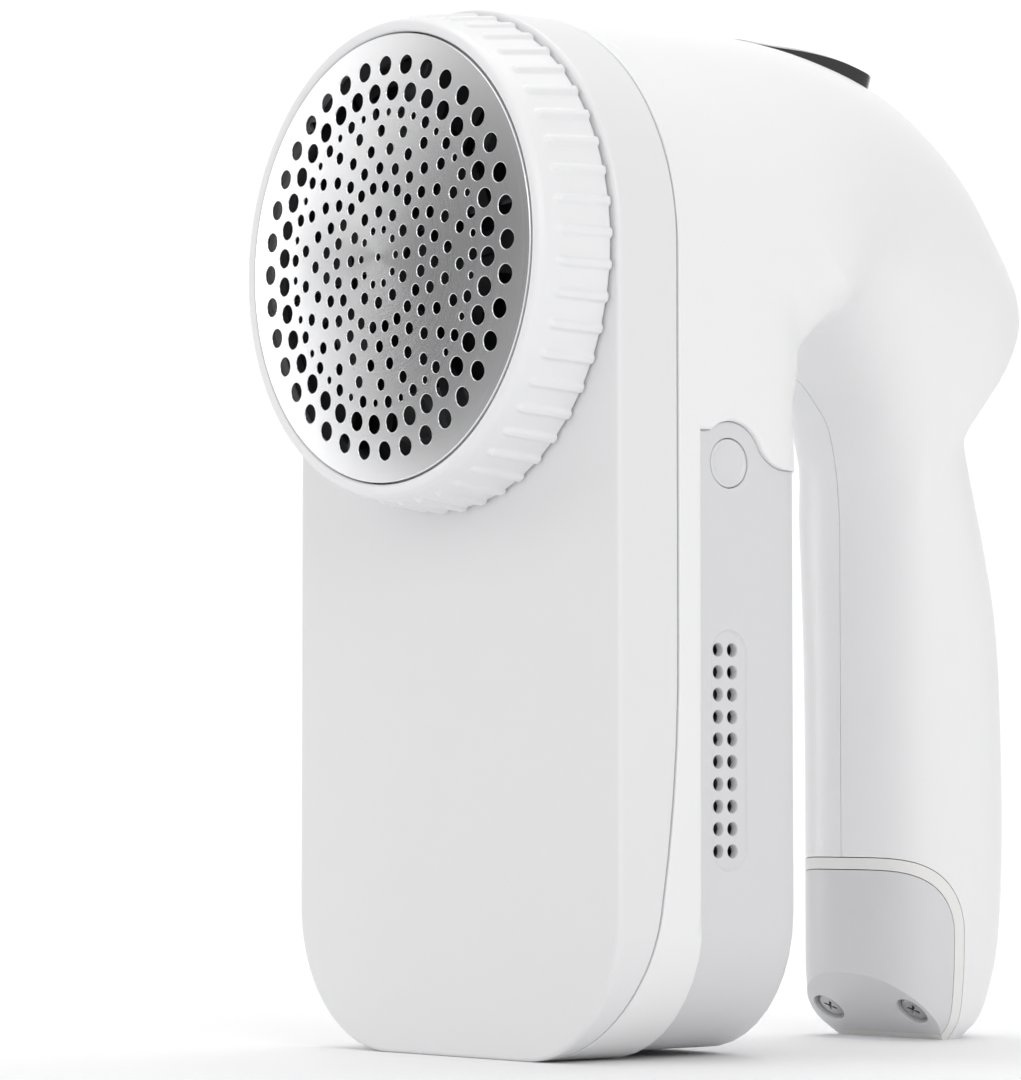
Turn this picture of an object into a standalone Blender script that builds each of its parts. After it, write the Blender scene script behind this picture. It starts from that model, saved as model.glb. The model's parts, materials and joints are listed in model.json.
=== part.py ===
"""Fabric shaver with a loop handle: a round cutting head on the front, a lint bin under it, and a
hollow handle that runs over the head and down the back.

All sizes below are in millimetres. X runs across the shaver and is 0 on its middle plane. Depth
runs back from the flat front face, and height runs up from the surface it stands on.
"""

import math

import bmesh
import bpy
from mathutils import Vector

MM = 0.001
GAP = 0.3  # clearance that touching pieces keep

# Frame
FACE_TO_MIDDLE = 41.47  # depth of the object's middle, where Y is 0
HEAD_HEIGHT = 98.7  # height of the cutting head's axis

# Body
BODY_HALF = 31.88  # half the body's width, and the radius of its arched top
CORNER = 18.0  # bottom corners
WALL = 2.0
SPLIT_DEPTH = 9.3  # front and rear housings meet here
SPLIT_BEND_FROM = 48.0  # below this height the parting line curves forward
SPLIT_BEND = 0.003
BODY_BACK = 29.0
BACK_ROUNDNESS = 5.0  # superellipse exponent of the body's rear edges
HEAD_HOLE = 25.0

# Cutting head
FOIL_RADIUS = 27.85
FOIL_RIM_DEPTH = -10.42
FOIL_DOME = 1.44
FOIL_THICKNESS = 0.25
FOIL_SKIRT_DEPTH = -8.6
FOIL_FLANGE = 28.9
# Rings of holes: radius of the ring, holes on it, hole diameters taken in turn, turn in pitches.
FOIL_RINGS = (
    (3.48, 10, (1.0,), 0.0),
    (5.66, 12, (1.5,), 0.0),
    (8.72, 22, (1.5,), 0.0),
    (11.07, 22, (1.5,), 0.5),
    (13.42, 22, (1.5,), 0.0),
    (15.77, 22, (1.5,), 0.5),
    (18.03, 44, (0.95, 1.5), 0.5),
    (20.66, 36, (2.4,), 0.5),
    (23.95, 36, (2.4,), 0.0),
)
RIB_COUNT = 50
RIB_HEIGHT = 0.45
RING_BORE = 27.7
SEAT_OUTER = 27.2
SEAT_INNER = 25.4
DISC_RADIUS = 25.0
DISC_FRONT = -6.8
DISC_THICKNESS = 1.4
BLADE_COUNT = 6
BLADE_INNER = 5.6
BLADE_OUTER = 24.6
SHAFT = 1.0
SHAFT_HOLE = 1.3
FAN_RADIUS = 17.0
FAN_BLADES = 8
CUP_OUTER = 25.2

# Motor
MOTOR_RADIUS = 12.0
MOTOR_FRONT = 11.4
MOTOR_BACK = 31.0

# Lint bin
BIN_FRONT = 13.3
BIN_INSET = 0.8
BIN_WALL = 1.6
BIN_FRONT_WALL = 0.9
BUTTON_DEPTH = 18.4
BUTTON_HEIGHT = 72.8
BUTTON_RADIUS = 3.0
VENT_ROWS = 10
VENT_TOP = 50.0
VENT_PITCH = 2.72
VENT_RADIUS = 0.82
VENT_DEPTHS = (16.9, 19.2)

# Thumb switch, which runs on an arc along the crown of the handle
CROWN_RADIUS = 92.2
CROWN_DEPTH = 38.2
CROWN_HEIGHT = 39.5
SWITCH_FROM = 42.9
SWITCH_TO = 66.8
SWITCH_HALF = 6.9
SWITCH_RISE = 1.1
SLOT_FROM = 38.4

# Handle
COVER_DEPTH = 76.0
COVER_HEIGHT = 24.1
COVER_ARCH = 10.0
SEAL_WIDTH = 1.5
CHAMFER = 75.1  # sum of depth and height on the sloping end of the handle
BATTERY_DEPTH = 79.0
BATTERY_RADIUS = 7.1
PORT_DEPTH = 80.0

# Ribs of the handle's loft, from the body's side over the top and down to the handle's end. Each
# is a section from an outer point (half width, depth, height) to a point on the inner middle line
# (depth, height), with its greatest half width, where along the section that is, and the
# superellipse exponents before and after it.
SIDE_RIBS = (
    (31.88, 9.6, 84.0, 29.0, 67.0, 31.88, 0.55, 2.0, 5.0),
    (31.88, 9.6, 98.7, 29.9, 76.5, 31.88, 0.52, 2.0, 4.0),
)
# Ribs that start on the arched top of the parting line: the arch's angle, the inner point's depth
# and height, and the exponent after the widest place.
ARCH_RIBS = (
    (15.0, 30.8, 79.3, 3.5),
    (30.0, 32.0, 81.9, 3.0),
    (45.0, 33.6, 84.3, 2.75),
    (60.0, 35.7, 86.4, 2.5),
    (75.0, 38.2, 88.3, 2.4),
    (90.0, 41.0, 89.8, 2.3),
)
CROWN_RIBS = (
    (0.0, 24.0, 131.2, 44.7, 90.8, 30.80, 0.74, 2.0, 2.2),
    (0.0, 41.0, 131.66, 48.5, 91.1, 28.80, 0.66, 2.0, 2.2),
    (0.0, 55.0, 130.15, 52.7, 90.5, 26.40, 0.60, 2.0, 2.2),
    (0.0, 66.8, 127.1, 56.5, 88.9, 23.80, 0.56, 2.0, 2.3),
    (0.0, 77.0, 122.5, 59.7, 86.8, 21.50, 0.54, 2.0, 2.4),
    (0.0, 84.0, 117.7, 62.2, 84.2, 19.80, 0.53, 2.0, 2.5),
    (0.0, 89.5, 110.7, 64.0, 81.2, 18.60, 0.52, 2.0, 2.5),
    (0.0, 93.5, 103.5, 65.0, 78.0, 17.80, 0.50, 2.0, 2.5),
    (0.0, 94.8, 98.5, 65.5, 75.5, 17.20, 0.50, 2.0, 2.5),
    (0.0, 93.4, 93.0, 65.8, 72.5, 16.30, 0.50, 2.0, 2.5),
    (0.0, 90.0, 88.5, 66.0, 70.0, 15.40, 0.50, 2.0, 2.5),
    (0.0, 86.3, 84.8, 66.1, 67.5, 14.70, 0.50, 2.0, 2.5),
    (0.0, 84.9, 80.5, 66.2, 64.5, 14.40, 0.50, 2.0, 2.5),
    (0.0, 86.5, 74.0, 66.2, 60.0, 14.60, 0.50, 2.0, 2.5),
    (0.0, 88.9, 66.0, 66.2, 54.5, 14.90, 0.50, 2.0, 2.5),
    (0.0, 90.9, 56.0, 66.2, 47.5, 15.10, 0.50, 2.0, 2.5),
    (0.0, 92.2, 41.0, 66.2, 37.0, 15.10, 0.50, 2.0, 2.5),
    (0.0, 92.3, 26.0, 66.2, 24.5, 15.10, 0.50, 2.0, 2.5),
    (0.0, 91.5, 14.0, 66.2, 14.0, 15.00, 0.50, 2.0, 2.5),
    (0.0, 90.0, 8.0, 66.3, 8.0, 14.70, 0.50, 2.0, 2.5),
    (0.0, 87.4, 2.8, 67.0, 2.8, 13.60, 0.50, 2.0, 2.5),
    (0.0, 83.6, 0.0, 70.0, 0.0, 11.00, 0.50, 2.0, 2.5),
)
OUTER_STEPS = 5  # points of a section on each side of its widest place
INNER_STEPS = 5


# ---------------------------------------------------------------- places and curves


def at(x, depth, height):
    """World position of a place given as (across, depth behind the face, height)."""
    return Vector((x, depth - FACE_TO_MIDDLE, height)) * MM


def split(height):
    """Depth of the line where the front and rear housings meet."""
    return SPLIT_DEPTH - SPLIT_BEND * max(SPLIT_BEND_FROM - height, 0.0) ** 2


def half_width(height, inset=0.0):
    """Half the body's width at a height below its arched top."""
    below = max(CORNER - height, 0.0)
    return BODY_HALF - CORNER + math.sqrt(max((CORNER - inset) ** 2 - below**2, 0.0))


def dome(radius):
    """Depth of the foil's outer surface."""
    return FOIL_RIM_DEPTH - FOIL_DOME * (1.0 - (radius / FOIL_RADIUS) ** 2)


def arc(centre, radius, start, end, steps):
    """Points of an arc in a plane, angles in degrees."""
    found = []
    for i in range(steps + 1):
        angle = math.radians(start + (end - start) * i / steps)
        found.append((centre[0] + radius * math.cos(angle), centre[1] + radius * math.sin(angle)))
    return found


def bin_outline(margin):
    """Side outline of the lint bin as (depth, height), grown by a margin."""
    crest = arc((BUTTON_DEPTH, BUTTON_HEIGHT), 5.1 + margin, 130, 25, 6)
    swoop = arc((28.2, 77.6), 5.3 - margin, 205, 262, 4)
    front = BIN_FRONT - margin
    return (
        [(front, -9.0), (front, 76.6 + margin)]
        + crest
        + swoop
        + [(36.0, 72.2 + margin), (36.0, -9.0)]
    )


def cover_outline(margin):
    """Side outline of the handle's end cover as (depth, height), shrunk by a margin."""
    deep = COVER_DEPTH - margin
    top = COVER_HEIGHT - margin
    radius = COVER_ARCH - margin
    corner = arc((deep - radius, top - radius), radius, 90, 0, 6)
    return [(60.0, -9.0), (60.0, top)] + corner + [(deep, -9.0)]


# ---------------------------------------------------------------- making objects


def material(name, colour, roughness, metallic=0.0):
    made = bpy.data.materials.get(name) or bpy.data.materials.new(name)
    made.use_nodes = True
    shader = made.node_tree.nodes["Principled BSDF"]
    shader.inputs["Base Color"].default_value = (*colour, 1.0)
    shader.inputs["Roughness"].default_value = roughness
    shader.inputs["Metallic"].default_value = metallic
    made.diffuse_color = (*colour, 1.0)
    return made


def mesh_object(name, points, faces, look, pivot=None):
    """A mesh object from world points, with its origin at the pivot."""
    pivot = pivot or Vector((0.0, 0.0, 0.0))
    mesh = bpy.data.meshes.new(name)
    mesh.from_pydata([point - pivot for point in points], [], faces)
    shape = bmesh.new()
    shape.from_mesh(mesh)
    bmesh.ops.remove_doubles(shape, verts=shape.verts, dist=0.001 * MM)
    bmesh.ops.dissolve_degenerate(shape, dist=0.0001 * MM, edges=shape.edges)
    loose = [edge for edge in shape.edges if not edge.link_faces]
    bmesh.ops.delete(shape, geom=loose, context="EDGES")
    bmesh.ops.recalc_face_normals(shape, faces=shape.faces)
    shape.to_mesh(mesh)
    shape.free()
    mesh.shade_smooth()
    mesh.set_sharp_from_angle(angle=math.radians(35))
    made = bpy.data.objects.new(name, mesh)
    made.location = pivot
    if look:
        mesh.materials.append(look)
    bpy.context.scene.collection.objects.link(made)
    return made


def extruded(name, outline, place, look, pivot=None):
    """A prism between the two ends that place gives for each point of an outline."""
    ends = [place(*point) for point in outline]
    count = len(outline)
    points = [low for low, _ in ends] + [high for _, high in ends]
    faces = [list(range(count)), list(range(2 * count - 1, count - 1, -1))]
    for i in range(count):
        after = (i + 1) % count
        faces.append([i, after, count + after, count + i])
    return mesh_object(name, points, faces, look, pivot)


def across(name, outline, low, high, look=None, pivot=None):
    """A prism of a (depth, height) outline between two values of X."""
    return extruded(name, outline, lambda d, h: (at(low, d, h), at(high, d, h)), look, pivot)


def backward(name, outline, low, high, look=None, pivot=None):
    """A prism of an (X, height) outline between two depths."""
    return extruded(name, outline, lambda x, h: (at(x, low, h), at(x, high, h)), look, pivot)


def upward(name, outline, low, high, look=None, pivot=None):
    """A prism of an (X, depth) outline between two heights."""
    return extruded(name, outline, lambda x, d: (at(x, d, low), at(x, d, high)), look, pivot)


def box(name, across_range, depth_range, height_range, look=None, pivot=None):
    low_depth, high_depth = depth_range
    low_height, high_height = height_range
    outline = [
        (low_depth, low_height),
        (high_depth, low_height),
        (high_depth, high_height),
        (low_depth, high_height),
    ]
    return across(name, outline, *across_range, look, pivot)


def rings(name, loops, look, pivot=None, closed=False):
    """A solid from loops of points with one count each, capped unless it closes on itself."""
    size = len(loops[0])
    points = [point for loop in loops for point in loop]
    faces = []
    for row in range(len(loops) if closed else len(loops) - 1):
        first = row * size
        second = (row + 1) % len(loops) * size
        for i in range(size):
            after = (i + 1) % size
            faces.append([first + i, first + after, second + after, second + i])
    if not closed:
        faces.append(list(range(size)))
        faces.append(list(range(len(points) - 1, len(points) - size - 1, -1)))
    return mesh_object(name, points, faces, look, pivot)


def turned_on_head(name, profile, steps, look, pivot=None):
    """A closed (radius, depth) profile turned about the cutting head's axis."""
    loops = []
    for i in range(steps):
        turn = math.tau * i / steps
        loops.append([head_point(radius, turn, depth) for radius, depth in profile])
    return rings(name, loops, look, pivot, closed=True)


def turned(name, profile, centre, direction, steps, look, pivot=None):
    """A closed (radius, along) profile turned about an axis through a centre."""
    along = Vector(direction).normalized()
    side = along.orthogonal().normalized()
    other = along.cross(side)
    loops = []
    for i in range(steps):
        turn = math.tau * i / steps
        out = side * math.cos(turn) + other * math.sin(turn)
        loops.append([centre + (out * radius + along * far) * MM for radius, far in profile])
    return rings(name, loops, look, pivot, closed=True)


def head_point(radius, turn, depth):
    return at(radius * math.cos(turn), depth, HEAD_HEIGHT + radius * math.sin(turn))


def cut(target, cutter, operation="DIFFERENCE"):
    """Adds a Boolean and turns the other mesh into a hidden guide."""
    change = target.modifiers.new(cutter.name, "BOOLEAN")
    change.object = cutter
    change.operation = operation
    change.solver = "EXACT"
    cutter.hide_render = True
    cutter.display_type = "WIRE"


def joined_cutter(name, solids):
    """One guide from several separate ones."""
    shape = bmesh.new()
    for solid in solids:
        copy = solid.data.copy()
        copy.transform(solid.matrix_basis)
        shape.from_mesh(copy)
        bpy.data.meshes.remove(copy)
        bpy.data.objects.remove(solid)
    mesh = bpy.data.meshes.new(name)
    shape.to_mesh(mesh)
    shape.free()
    made = bpy.data.objects.new(name, mesh)
    bpy.context.scene.collection.objects.link(made)
    return made


# ---------------------------------------------------------------- the housings


def section(rib, steps_before, steps_after):
    """Points (X, depth, height) of one rib, from its outer point to the inner middle line."""
    x0, d0, h0, d1, h1, widest, where, before, after = rib
    first = math.asin((x0 / widest) ** (before / 2.0))
    first = min(first, math.radians(89.0))
    full = math.cos(first) ** (2.0 / before)
    places = []
    for i in range(steps_before):
        angle = first + (0.5 * math.pi - first) * i / steps_before
        share = where * (1.0 - math.cos(angle) ** (2.0 / before) / full)
        places.append((share, max(widest * math.sin(angle) ** (2.0 / before), x0)))
    for i in range(steps_after + 1):
        angle = 0.5 * math.pi * i / steps_after
        share = where + (1.0 - where) * max(math.sin(angle), 0.0) ** (2.0 / after)
        places.append((share, widest * max(math.cos(angle), 0.0) ** (2.0 / after)))
    return [(x, d0 + (d1 - d0) * s, h0 + (h1 - h0) * s) for s, x in places]


def arch_rib(angle, deep, low, after):
    """Rib from the arched parting line, so that the skin runs straight back from it."""
    turn = math.radians(angle)
    height = HEAD_HEIGHT + BODY_HALF * math.sin(turn)
    where = max((height - HEAD_HEIGHT) / (height - low), 0.52)
    side = BODY_HALF * math.cos(turn)
    return (side, SPLIT_DEPTH + GAP, height, deep, low, BODY_HALF, where, 2.0, after)


def leg_rib(height):
    """Rib of the body below the handle's arch: a level section."""
    side = half_width(height)
    front = split(height) + GAP
    return (side, front, height, BODY_BACK, height, side, 0.55, 2.0, BACK_ROUNDNESS)


def housing_rows():
    """Rows of points over one half of the rear housing, closed flat at both ends."""
    corner_heights = [CORNER * (1.0 - math.cos(math.radians(a))) for a in (0, 22.5, 45, 67.5, 90)]
    ribs = [leg_rib(height) for height in corner_heights + [34.0, 52.0]]
    ribs += list(SIDE_RIBS) + [arch_rib(*row) for row in ARCH_RIBS] + list(CROWN_RIBS)
    rows = [section(rib, OUTER_STEPS, INNER_STEPS) for rib in ribs]
    first = [[(x * k, d, h) for x, d, h in rows[0]] for k in (0.0, 0.55)]
    middle = 0.5 * (rows[-1][0][1] + rows[-1][-1][1])
    last = [[(x * k, middle + (d - middle) * k, h) for x, d, h in rows[-1]] for k in (0.5, 0.0)]
    return first + rows + last


def skin(rows, side):
    """One half's outer skin as a bmesh, facing out, with its repeated end points merged."""
    shape = bmesh.new()
    seam = 0.5 * GAP
    grid = []
    for row in rows:
        grid.append([shape.verts.new(at(side * max(x, seam), d, h)) for x, d, h in row])
    for first, second in zip(grid, grid[1:]):
        for a, b, c, d in zip(first, first[1:], second[1:], second):
            shape.faces.new((a, b, c, d) if side > 0 else (d, c, b, a))
    bmesh.ops.remove_doubles(shape, verts=shape.verts, dist=0.001 * MM)
    shape.normal_update()
    return shape


def on_seam(vert):
    return abs(vert.co.x) < 0.2 * MM


def split_place(z):
    """Y of the rear housing's front edge at a world height."""
    return at(0.0, split(z / MM) + GAP, 0.0).y


def wall_direction(vert):
    """Where a skin's point moves as it gains thickness: along its edges' own planes."""
    normal = vert.normal.copy()
    if on_seam(vert):
        normal.x = 0.0
    elif vert.is_boundary:
        normal.y = 0.0
    return normal.normalized()


def rear_housing(name, side, look):
    """One clamshell half: an outer skin and its offset, joined along the edges."""
    shape = skin(housing_rows(), side)
    border = [tuple(edge.verts) for edge in shape.edges if edge.is_boundary]
    outer = [tuple(face.verts) for face in shape.faces]
    twins = {}
    for vert in list(shape.verts):
        place = vert.co - wall_direction(vert) * WALL * MM
        if abs(vert.co.y - split_place(vert.co.z)) < 0.05 * MM:
            place.y = split_place(place.z)
        twins[vert] = shape.verts.new(place)
    for corners in outer:
        shape.faces.new([twins[vert] for vert in reversed(corners)])
    for first, second in border:
        shape.faces.new((first, second, twins[second], twins[first]))
    shape.verts.index_update()
    points = [vert.co.copy() for vert in shape.verts]
    faces = [[vert.index for vert in face.verts] for face in shape.faces]
    shape.free()
    return mesh_object(name, points, faces, look)


def make_rear_housings():
    white = material("white_shell", (0.93, 0.93, 0.94), 0.32)
    halves = [rear_housing("rear_housing_left", -1, white)]
    halves.append(rear_housing("rear_housing_right", 1, white))
    bin_space = across("bin_space", bin_outline(GAP), -40, 40)
    end_space = across("end_space", cover_outline(-0.2), -30, 30)
    slot = across("switch_slot", crown_strip(SLOT_FROM, SWITCH_TO + 0.4, -6, 6), -7.5, 7.5)
    port = box("port_hole", (-4.8, 4.8), (PORT_DEPTH - 2.0, PORT_DEPTH + 2.0), (-5, 5))
    for half in halves:
        for cutter in (bin_space, end_space, slot, port):
            cut(half, cutter)


def body_outline(inset):
    """Front outline of the body as (X, height): arched top and rounded bottom corners."""
    radius = BODY_HALF - inset
    corner = CORNER - inset
    across_corner = BODY_HALF - CORNER
    outline = arc((0.0, HEAD_HEIGHT), radius, 0, 180, 32)
    outline += arc((-across_corner, CORNER), corner, 180, 270, 6)
    outline += arc((across_corner, CORNER), corner, 270, 360, 6)
    return outline


def make_front_housing():
    """Front tray: a flat face with the head's opening, and side walls back to the parting line."""
    white = material("white_front", (0.90, 0.90, 0.91), 0.30)
    tray = backward("front_housing", body_outline(0.0), 0.0, SPLIT_DEPTH, white)
    cut(tray, backward("front_hollow", body_outline(WALL), WALL, SPLIT_DEPTH + 5))
    hole = [(0.01, -3.0), (HEAD_HOLE, -3.0), (HEAD_HOLE, 6.0), (0.01, 6.0)]
    cut(tray, turned_on_head("head_opening", solid_profile(hole), 48, None))
    heights = [SPLIT_BEND_FROM * i / 6 for i in range(7)]
    behind = [(split(height), height) for height in heights]
    outline = [(40.0, -5.0), (split(0.0), -5.0)] + behind + [(40.0, SPLIT_BEND_FROM)]
    cut(tray, across("front_trim", outline, -40, 40))


def solid_profile(profile):
    """The same profile with its innermost radius on the axis."""
    low = min(radius for radius, _ in profile)
    return [(0.0 if radius == low else radius, far) for radius, far in profile]


# ---------------------------------------------------------------- the cutting head


def make_ring_seat():
    """Collar on the front face that the knurled ring locks onto."""
    grey = material("seat_plastic", (0.72, 0.73, 0.74), 0.45)
    profile = [(SEAT_INNER, -7.3), (SEAT_OUTER, -7.3), (SEAT_OUTER, -0.1), (SEAT_INNER, -0.1)]
    turned_on_head("ring_seat", profile, 40, grey)


def rib_lift(share):
    """How far the knurl stands out at a share of one pitch."""
    return RIB_HEIGHT if share < 0.45 else 0.0


def make_foil_ring():
    """Knurled locking ring: a rounded lip round the foil and a flared band of ribs."""
    white = material("ring_plastic", (0.95, 0.95, 0.955), 0.38)
    front = FOIL_RIM_DEPTH
    plain = [
        (RING_BORE, -0.3),
        (RING_BORE, -7.9),
        (29.15, -7.9),
        (29.15, -9.1),
        (FOIL_RADIUS + 0.2, -9.1),
        (FOIL_RADIUS + 0.2, front),
        (29.5, front - 0.03),
        (29.95, -9.0),
    ]
    band = [(29.9, -7.6), (30.95, -0.3)]
    shares = (0.0, 0.33, 0.5)
    loops = []
    for pitch in range(RIB_COUNT):
        for share in shares:
            turn = math.tau * (pitch + share) / RIB_COUNT
            lift = rib_lift(share)
            profile = plain + [(radius + lift, depth) for radius, depth in band]
            loops.append([head_point(radius, turn, depth) for radius, depth in profile])
    pivot = at(0.0, 0.0, HEAD_HEIGHT)
    rings("foil_ring", loops, white, pivot, closed=True)


def zip_circles(inner, outer):
    """Triangles between two circles of (angle, index), each in rising angle from 0."""
    faces = []
    i = 0
    j = 0
    while i < len(inner) or j < len(outer):
        next_in = inner[i + 1][0] if i + 1 < len(inner) else math.tau + inner[0][0]
        next_out = outer[j + 1][0] if j + 1 < len(outer) else math.tau + outer[0][0]
        here_in = inner[i % len(inner)][1]
        here_out = outer[j % len(outer)][1]
        if j >= len(outer) or (i < len(inner) and next_in <= next_out):
            faces.append([here_in, here_out, inner[(i + 1) % len(inner)][1]])
            i += 1
        else:
            faces.append([here_in, here_out, outer[(j + 1) % len(outer)][1]])
            j += 1
    return faces


def hole_sides(diameter):
    return 6 if diameter > 2.0 else 5 if diameter > 1.2 else 4


def foil_sheet():
    """Flat plan of the foil: plan points, faces, and the edges of each hole."""
    plan = []
    faces = []
    holes = []

    def add(radius, turn):
        plan.append((radius * math.cos(turn), radius * math.sin(turn)))
        return len(plan) - 1

    reach = [0.5 * max(sizes) + 0.28 for _, _, sizes, _ in FOIL_RINGS]
    centre = [add(0.475, math.tau * k / 5) for k in range(5)]
    holes.append(centre)
    before = [(math.tau * k / 5, index) for k, index in enumerate(centre)]
    for (radius, count, sizes, turn), half in zip(FOIL_RINGS, reach):
        low = []
        high = []
        for k in range(count):
            angle = math.tau * (k + (turn + 0.5) % 1.0) / count
            low.append((angle, add(radius - half, angle)))
            high.append((angle, add(radius + half, angle)))
        faces += zip_circles(before, low)
        for k in range(count):
            after = (k + 1) % count
            middle = low[k][0] + 0.5 * math.tau / count
            diameter = sizes[k % len(sizes)]
            sides = hole_sides(diameter)
            hole = []
            for s in range(sides):
                around = middle + math.pi + math.tau * (s + 0.5) / sides
                x = radius * math.cos(middle) + 0.5 * diameter * math.cos(around)
                y = radius * math.sin(middle) + 0.5 * diameter * math.sin(around)
                plan.append((x, y))
                hole.append(len(plan) - 1)
            holes.append(hole)
            corners = [low[k][1], high[k][1], high[after][1], low[after][1]]
            faces += fill_cell(plan, corners, hole)
        before = high
    rim = [(math.tau * k / 60, add(FOIL_RADIUS, math.tau * k / 60)) for k in range(60)]
    faces += zip_circles(before, rim)
    return plan, faces, holes, [index for _, index in rim]


def fill_cell(plan, corners, hole):
    """Triangles between a four-cornered cell and the hole inside it."""
    middle_x = sum(plan[k][0] for k in hole) / len(hole)
    middle_y = sum(plan[k][1] for k in hole) / len(hole)

    def turn_of(index):
        return math.atan2(plan[index][1] - middle_y, plan[index][0] - middle_x) % math.tau

    outer = sorted((turn_of(index), index) for index in corners)
    inner = sorted((turn_of(index), index) for index in hole)
    while inner[0][0] > outer[0][0]:
        angle, index = inner.pop()
        inner.insert(0, (angle - math.tau, index))
    return zip_circles(inner, outer)


def make_foil():
    """Domed perforated foil with a skirt and a flange that the ring holds."""
    steel = material("foil_steel", (0.78, 0.79, 0.80), 0.22, 1.0)
    plan, sheet, holes, rim = foil_sheet()
    points = []
    for offset in (0.0, FOIL_THICKNESS):
        for x, y in plan:
            depth = dome(math.hypot(x, y)) + offset
            points.append(at(x, depth, HEAD_HEIGHT + y))
    shift = len(plan)
    faces = list(sheet)
    faces += [[shift + k for k in reversed(face)] for face in sheet]
    for hole in holes:
        for k, index in enumerate(hole):
            after = hole[(k + 1) % len(hole)]
            faces.append([index, after, shift + after, shift + index])
    skirt = [
        (FOIL_RADIUS, FOIL_SKIRT_DEPTH - FOIL_THICKNESS),
        (FOIL_FLANGE, FOIL_SKIRT_DEPTH - FOIL_THICKNESS),
        (FOIL_FLANGE, FOIL_SKIRT_DEPTH),
        (FOIL_RADIUS - FOIL_THICKNESS, FOIL_SKIRT_DEPTH),
        (FOIL_RADIUS - FOIL_THICKNESS, FOIL_RIM_DEPTH + FOIL_THICKNESS),
    ]
    start = len(points)
    count = len(rim)
    for radius, depth in skirt:
        for k in range(count):
            points.append(head_point(radius, math.tau * k / count, depth))
    loops = [rim] + [[start + row * count + k for k in range(count)] for row in range(len(skirt))]
    loops.append([shift + index for index in rim])
    for first, second in zip(loops, loops[1:]):
        for k in range(count):
            after = (k + 1) % count
            faces.append([first[k], first[after], second[after], second[k]])
    mesh_object("shaver_foil", points, faces, steel, at(0.0, 0.0, HEAD_HEIGHT))


def kidney(centre_turn, span, inner, outer):
    """Outline of a curved slot about the head's axis as (X, height)."""
    middle = (0.0, HEAD_HEIGHT)
    low = centre_turn - span / 2
    high = centre_turn + span / 2
    return arc(middle, outer, low, high, 6) + arc(middle, inner, high, low, 6)


def make_cutter_disc():
    """Carrier of the six leaves, with curved openings that the fan draws lint through."""
    white = material("cutter_plastic", (0.90, 0.90, 0.90), 0.4)
    pivot = at(0.0, 0.0, HEAD_HEIGHT)
    back = DISC_FRONT + DISC_THICKNESS
    profile = [(1.6, DISC_FRONT), (DISC_RADIUS, DISC_FRONT), (DISC_RADIUS, back), (1.6, back)]
    disc = turned_on_head("cutter_disc", profile, 48, white, pivot)
    slots = []
    for k in range(BLADE_COUNT):
        outline = kidney(60 * k + 35, 30, 16.5, 22.5)
        slots.append(backward("slot", outline, DISC_FRONT - 2, back + 2))
    cut(disc, joined_cutter("disc_slots", slots))


def make_blade(number, turn, steel):
    """A bent steel leaf: a foot on the disc, stepped wider outwards, and a leaning edge."""
    steps = ((5.6, 1.8), (11.0, 1.8), (11.05, 3.0), (17.5, 3.0), (17.55, 4.2), (24.6, 4.2))
    out = Vector((math.cos(turn), 0.0, math.sin(turn)))
    side = Vector((-math.sin(turn), 0.0, math.cos(turn)))
    foot = DISC_FRONT - 0.1
    loops = []
    for radius, width in steps:
        top = dome(radius) + FOIL_THICKNESS + 0.2
        lean = 0.35 * (foot - top)
        profile = (
            (-width, foot),
            (0.25, foot),
            (0.25 + lean, top),
            (-0.15 + lean, top),
            (-0.25, foot - 0.45),
            (-width, foot - 0.45),
        )
        centre = at(0.0, 0.0, HEAD_HEIGHT) + out * radius * MM
        loops.append([centre + (side * t + Vector((0.0, d, 0.0))) * MM for t, d in profile])
    rings(f"cutter_blade_{number}", loops, steel, at(0.0, 0.0, HEAD_HEIGHT))


def make_blades():
    steel = material("blade_steel", (0.62, 0.63, 0.65), 0.25, 1.0)
    for k in range(BLADE_COUNT):
        make_blade(k + 1, math.radians(60 * k + 8), steel)


def make_cutter_drive():
    """Hub, spring, fan and shaft that turn with the cutter."""
    pivot = at(0.0, 0.0, HEAD_HEIGHT)
    grey = material("drive_plastic", (0.55, 0.56, 0.58), 0.5)
    steel = material("shaft_steel", (0.6, 0.6, 0.62), 0.3, 1.0)
    hub = [
        (0.0, -5.1),
        (5.0, -5.1),
        (5.0, -3.6),
        (2.8, -3.6),
        (2.8, 2.6),
        (SHAFT_HOLE, 2.6),
        (SHAFT_HOLE, -4.3),
        (0.0, -4.3),
    ]
    turned_on_head("cutter_hub", hub, 20, grey, pivot)
    shaft = [(0.0, -4.0), (SHAFT, -4.0), (SHAFT, 27.5), (0.0, 27.5)]
    turned_on_head("motor_shaft", shaft, 12, steel, pivot)
    make_cutter_spring(steel, pivot)
    make_fan(grey, pivot)


def make_cutter_spring(look, pivot):
    """Spring that holds the cutter up to the foil."""
    turns = 4
    steps = 12
    wire = 0.25
    loops = []
    for i in range(turns * steps + 1):
        turn = math.tau * i / steps
        depth = -3.2 + 5.9 * i / (turns * steps)
        loop = []
        for k in range(5):
            around = math.tau * k / 5
            radius = 3.6 + wire * math.cos(around)
            loop.append(head_point(radius, turn, depth + wire * math.sin(around)))
        loops.append(loop)
    rings("cutter_spring", loops, look, pivot)


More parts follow.
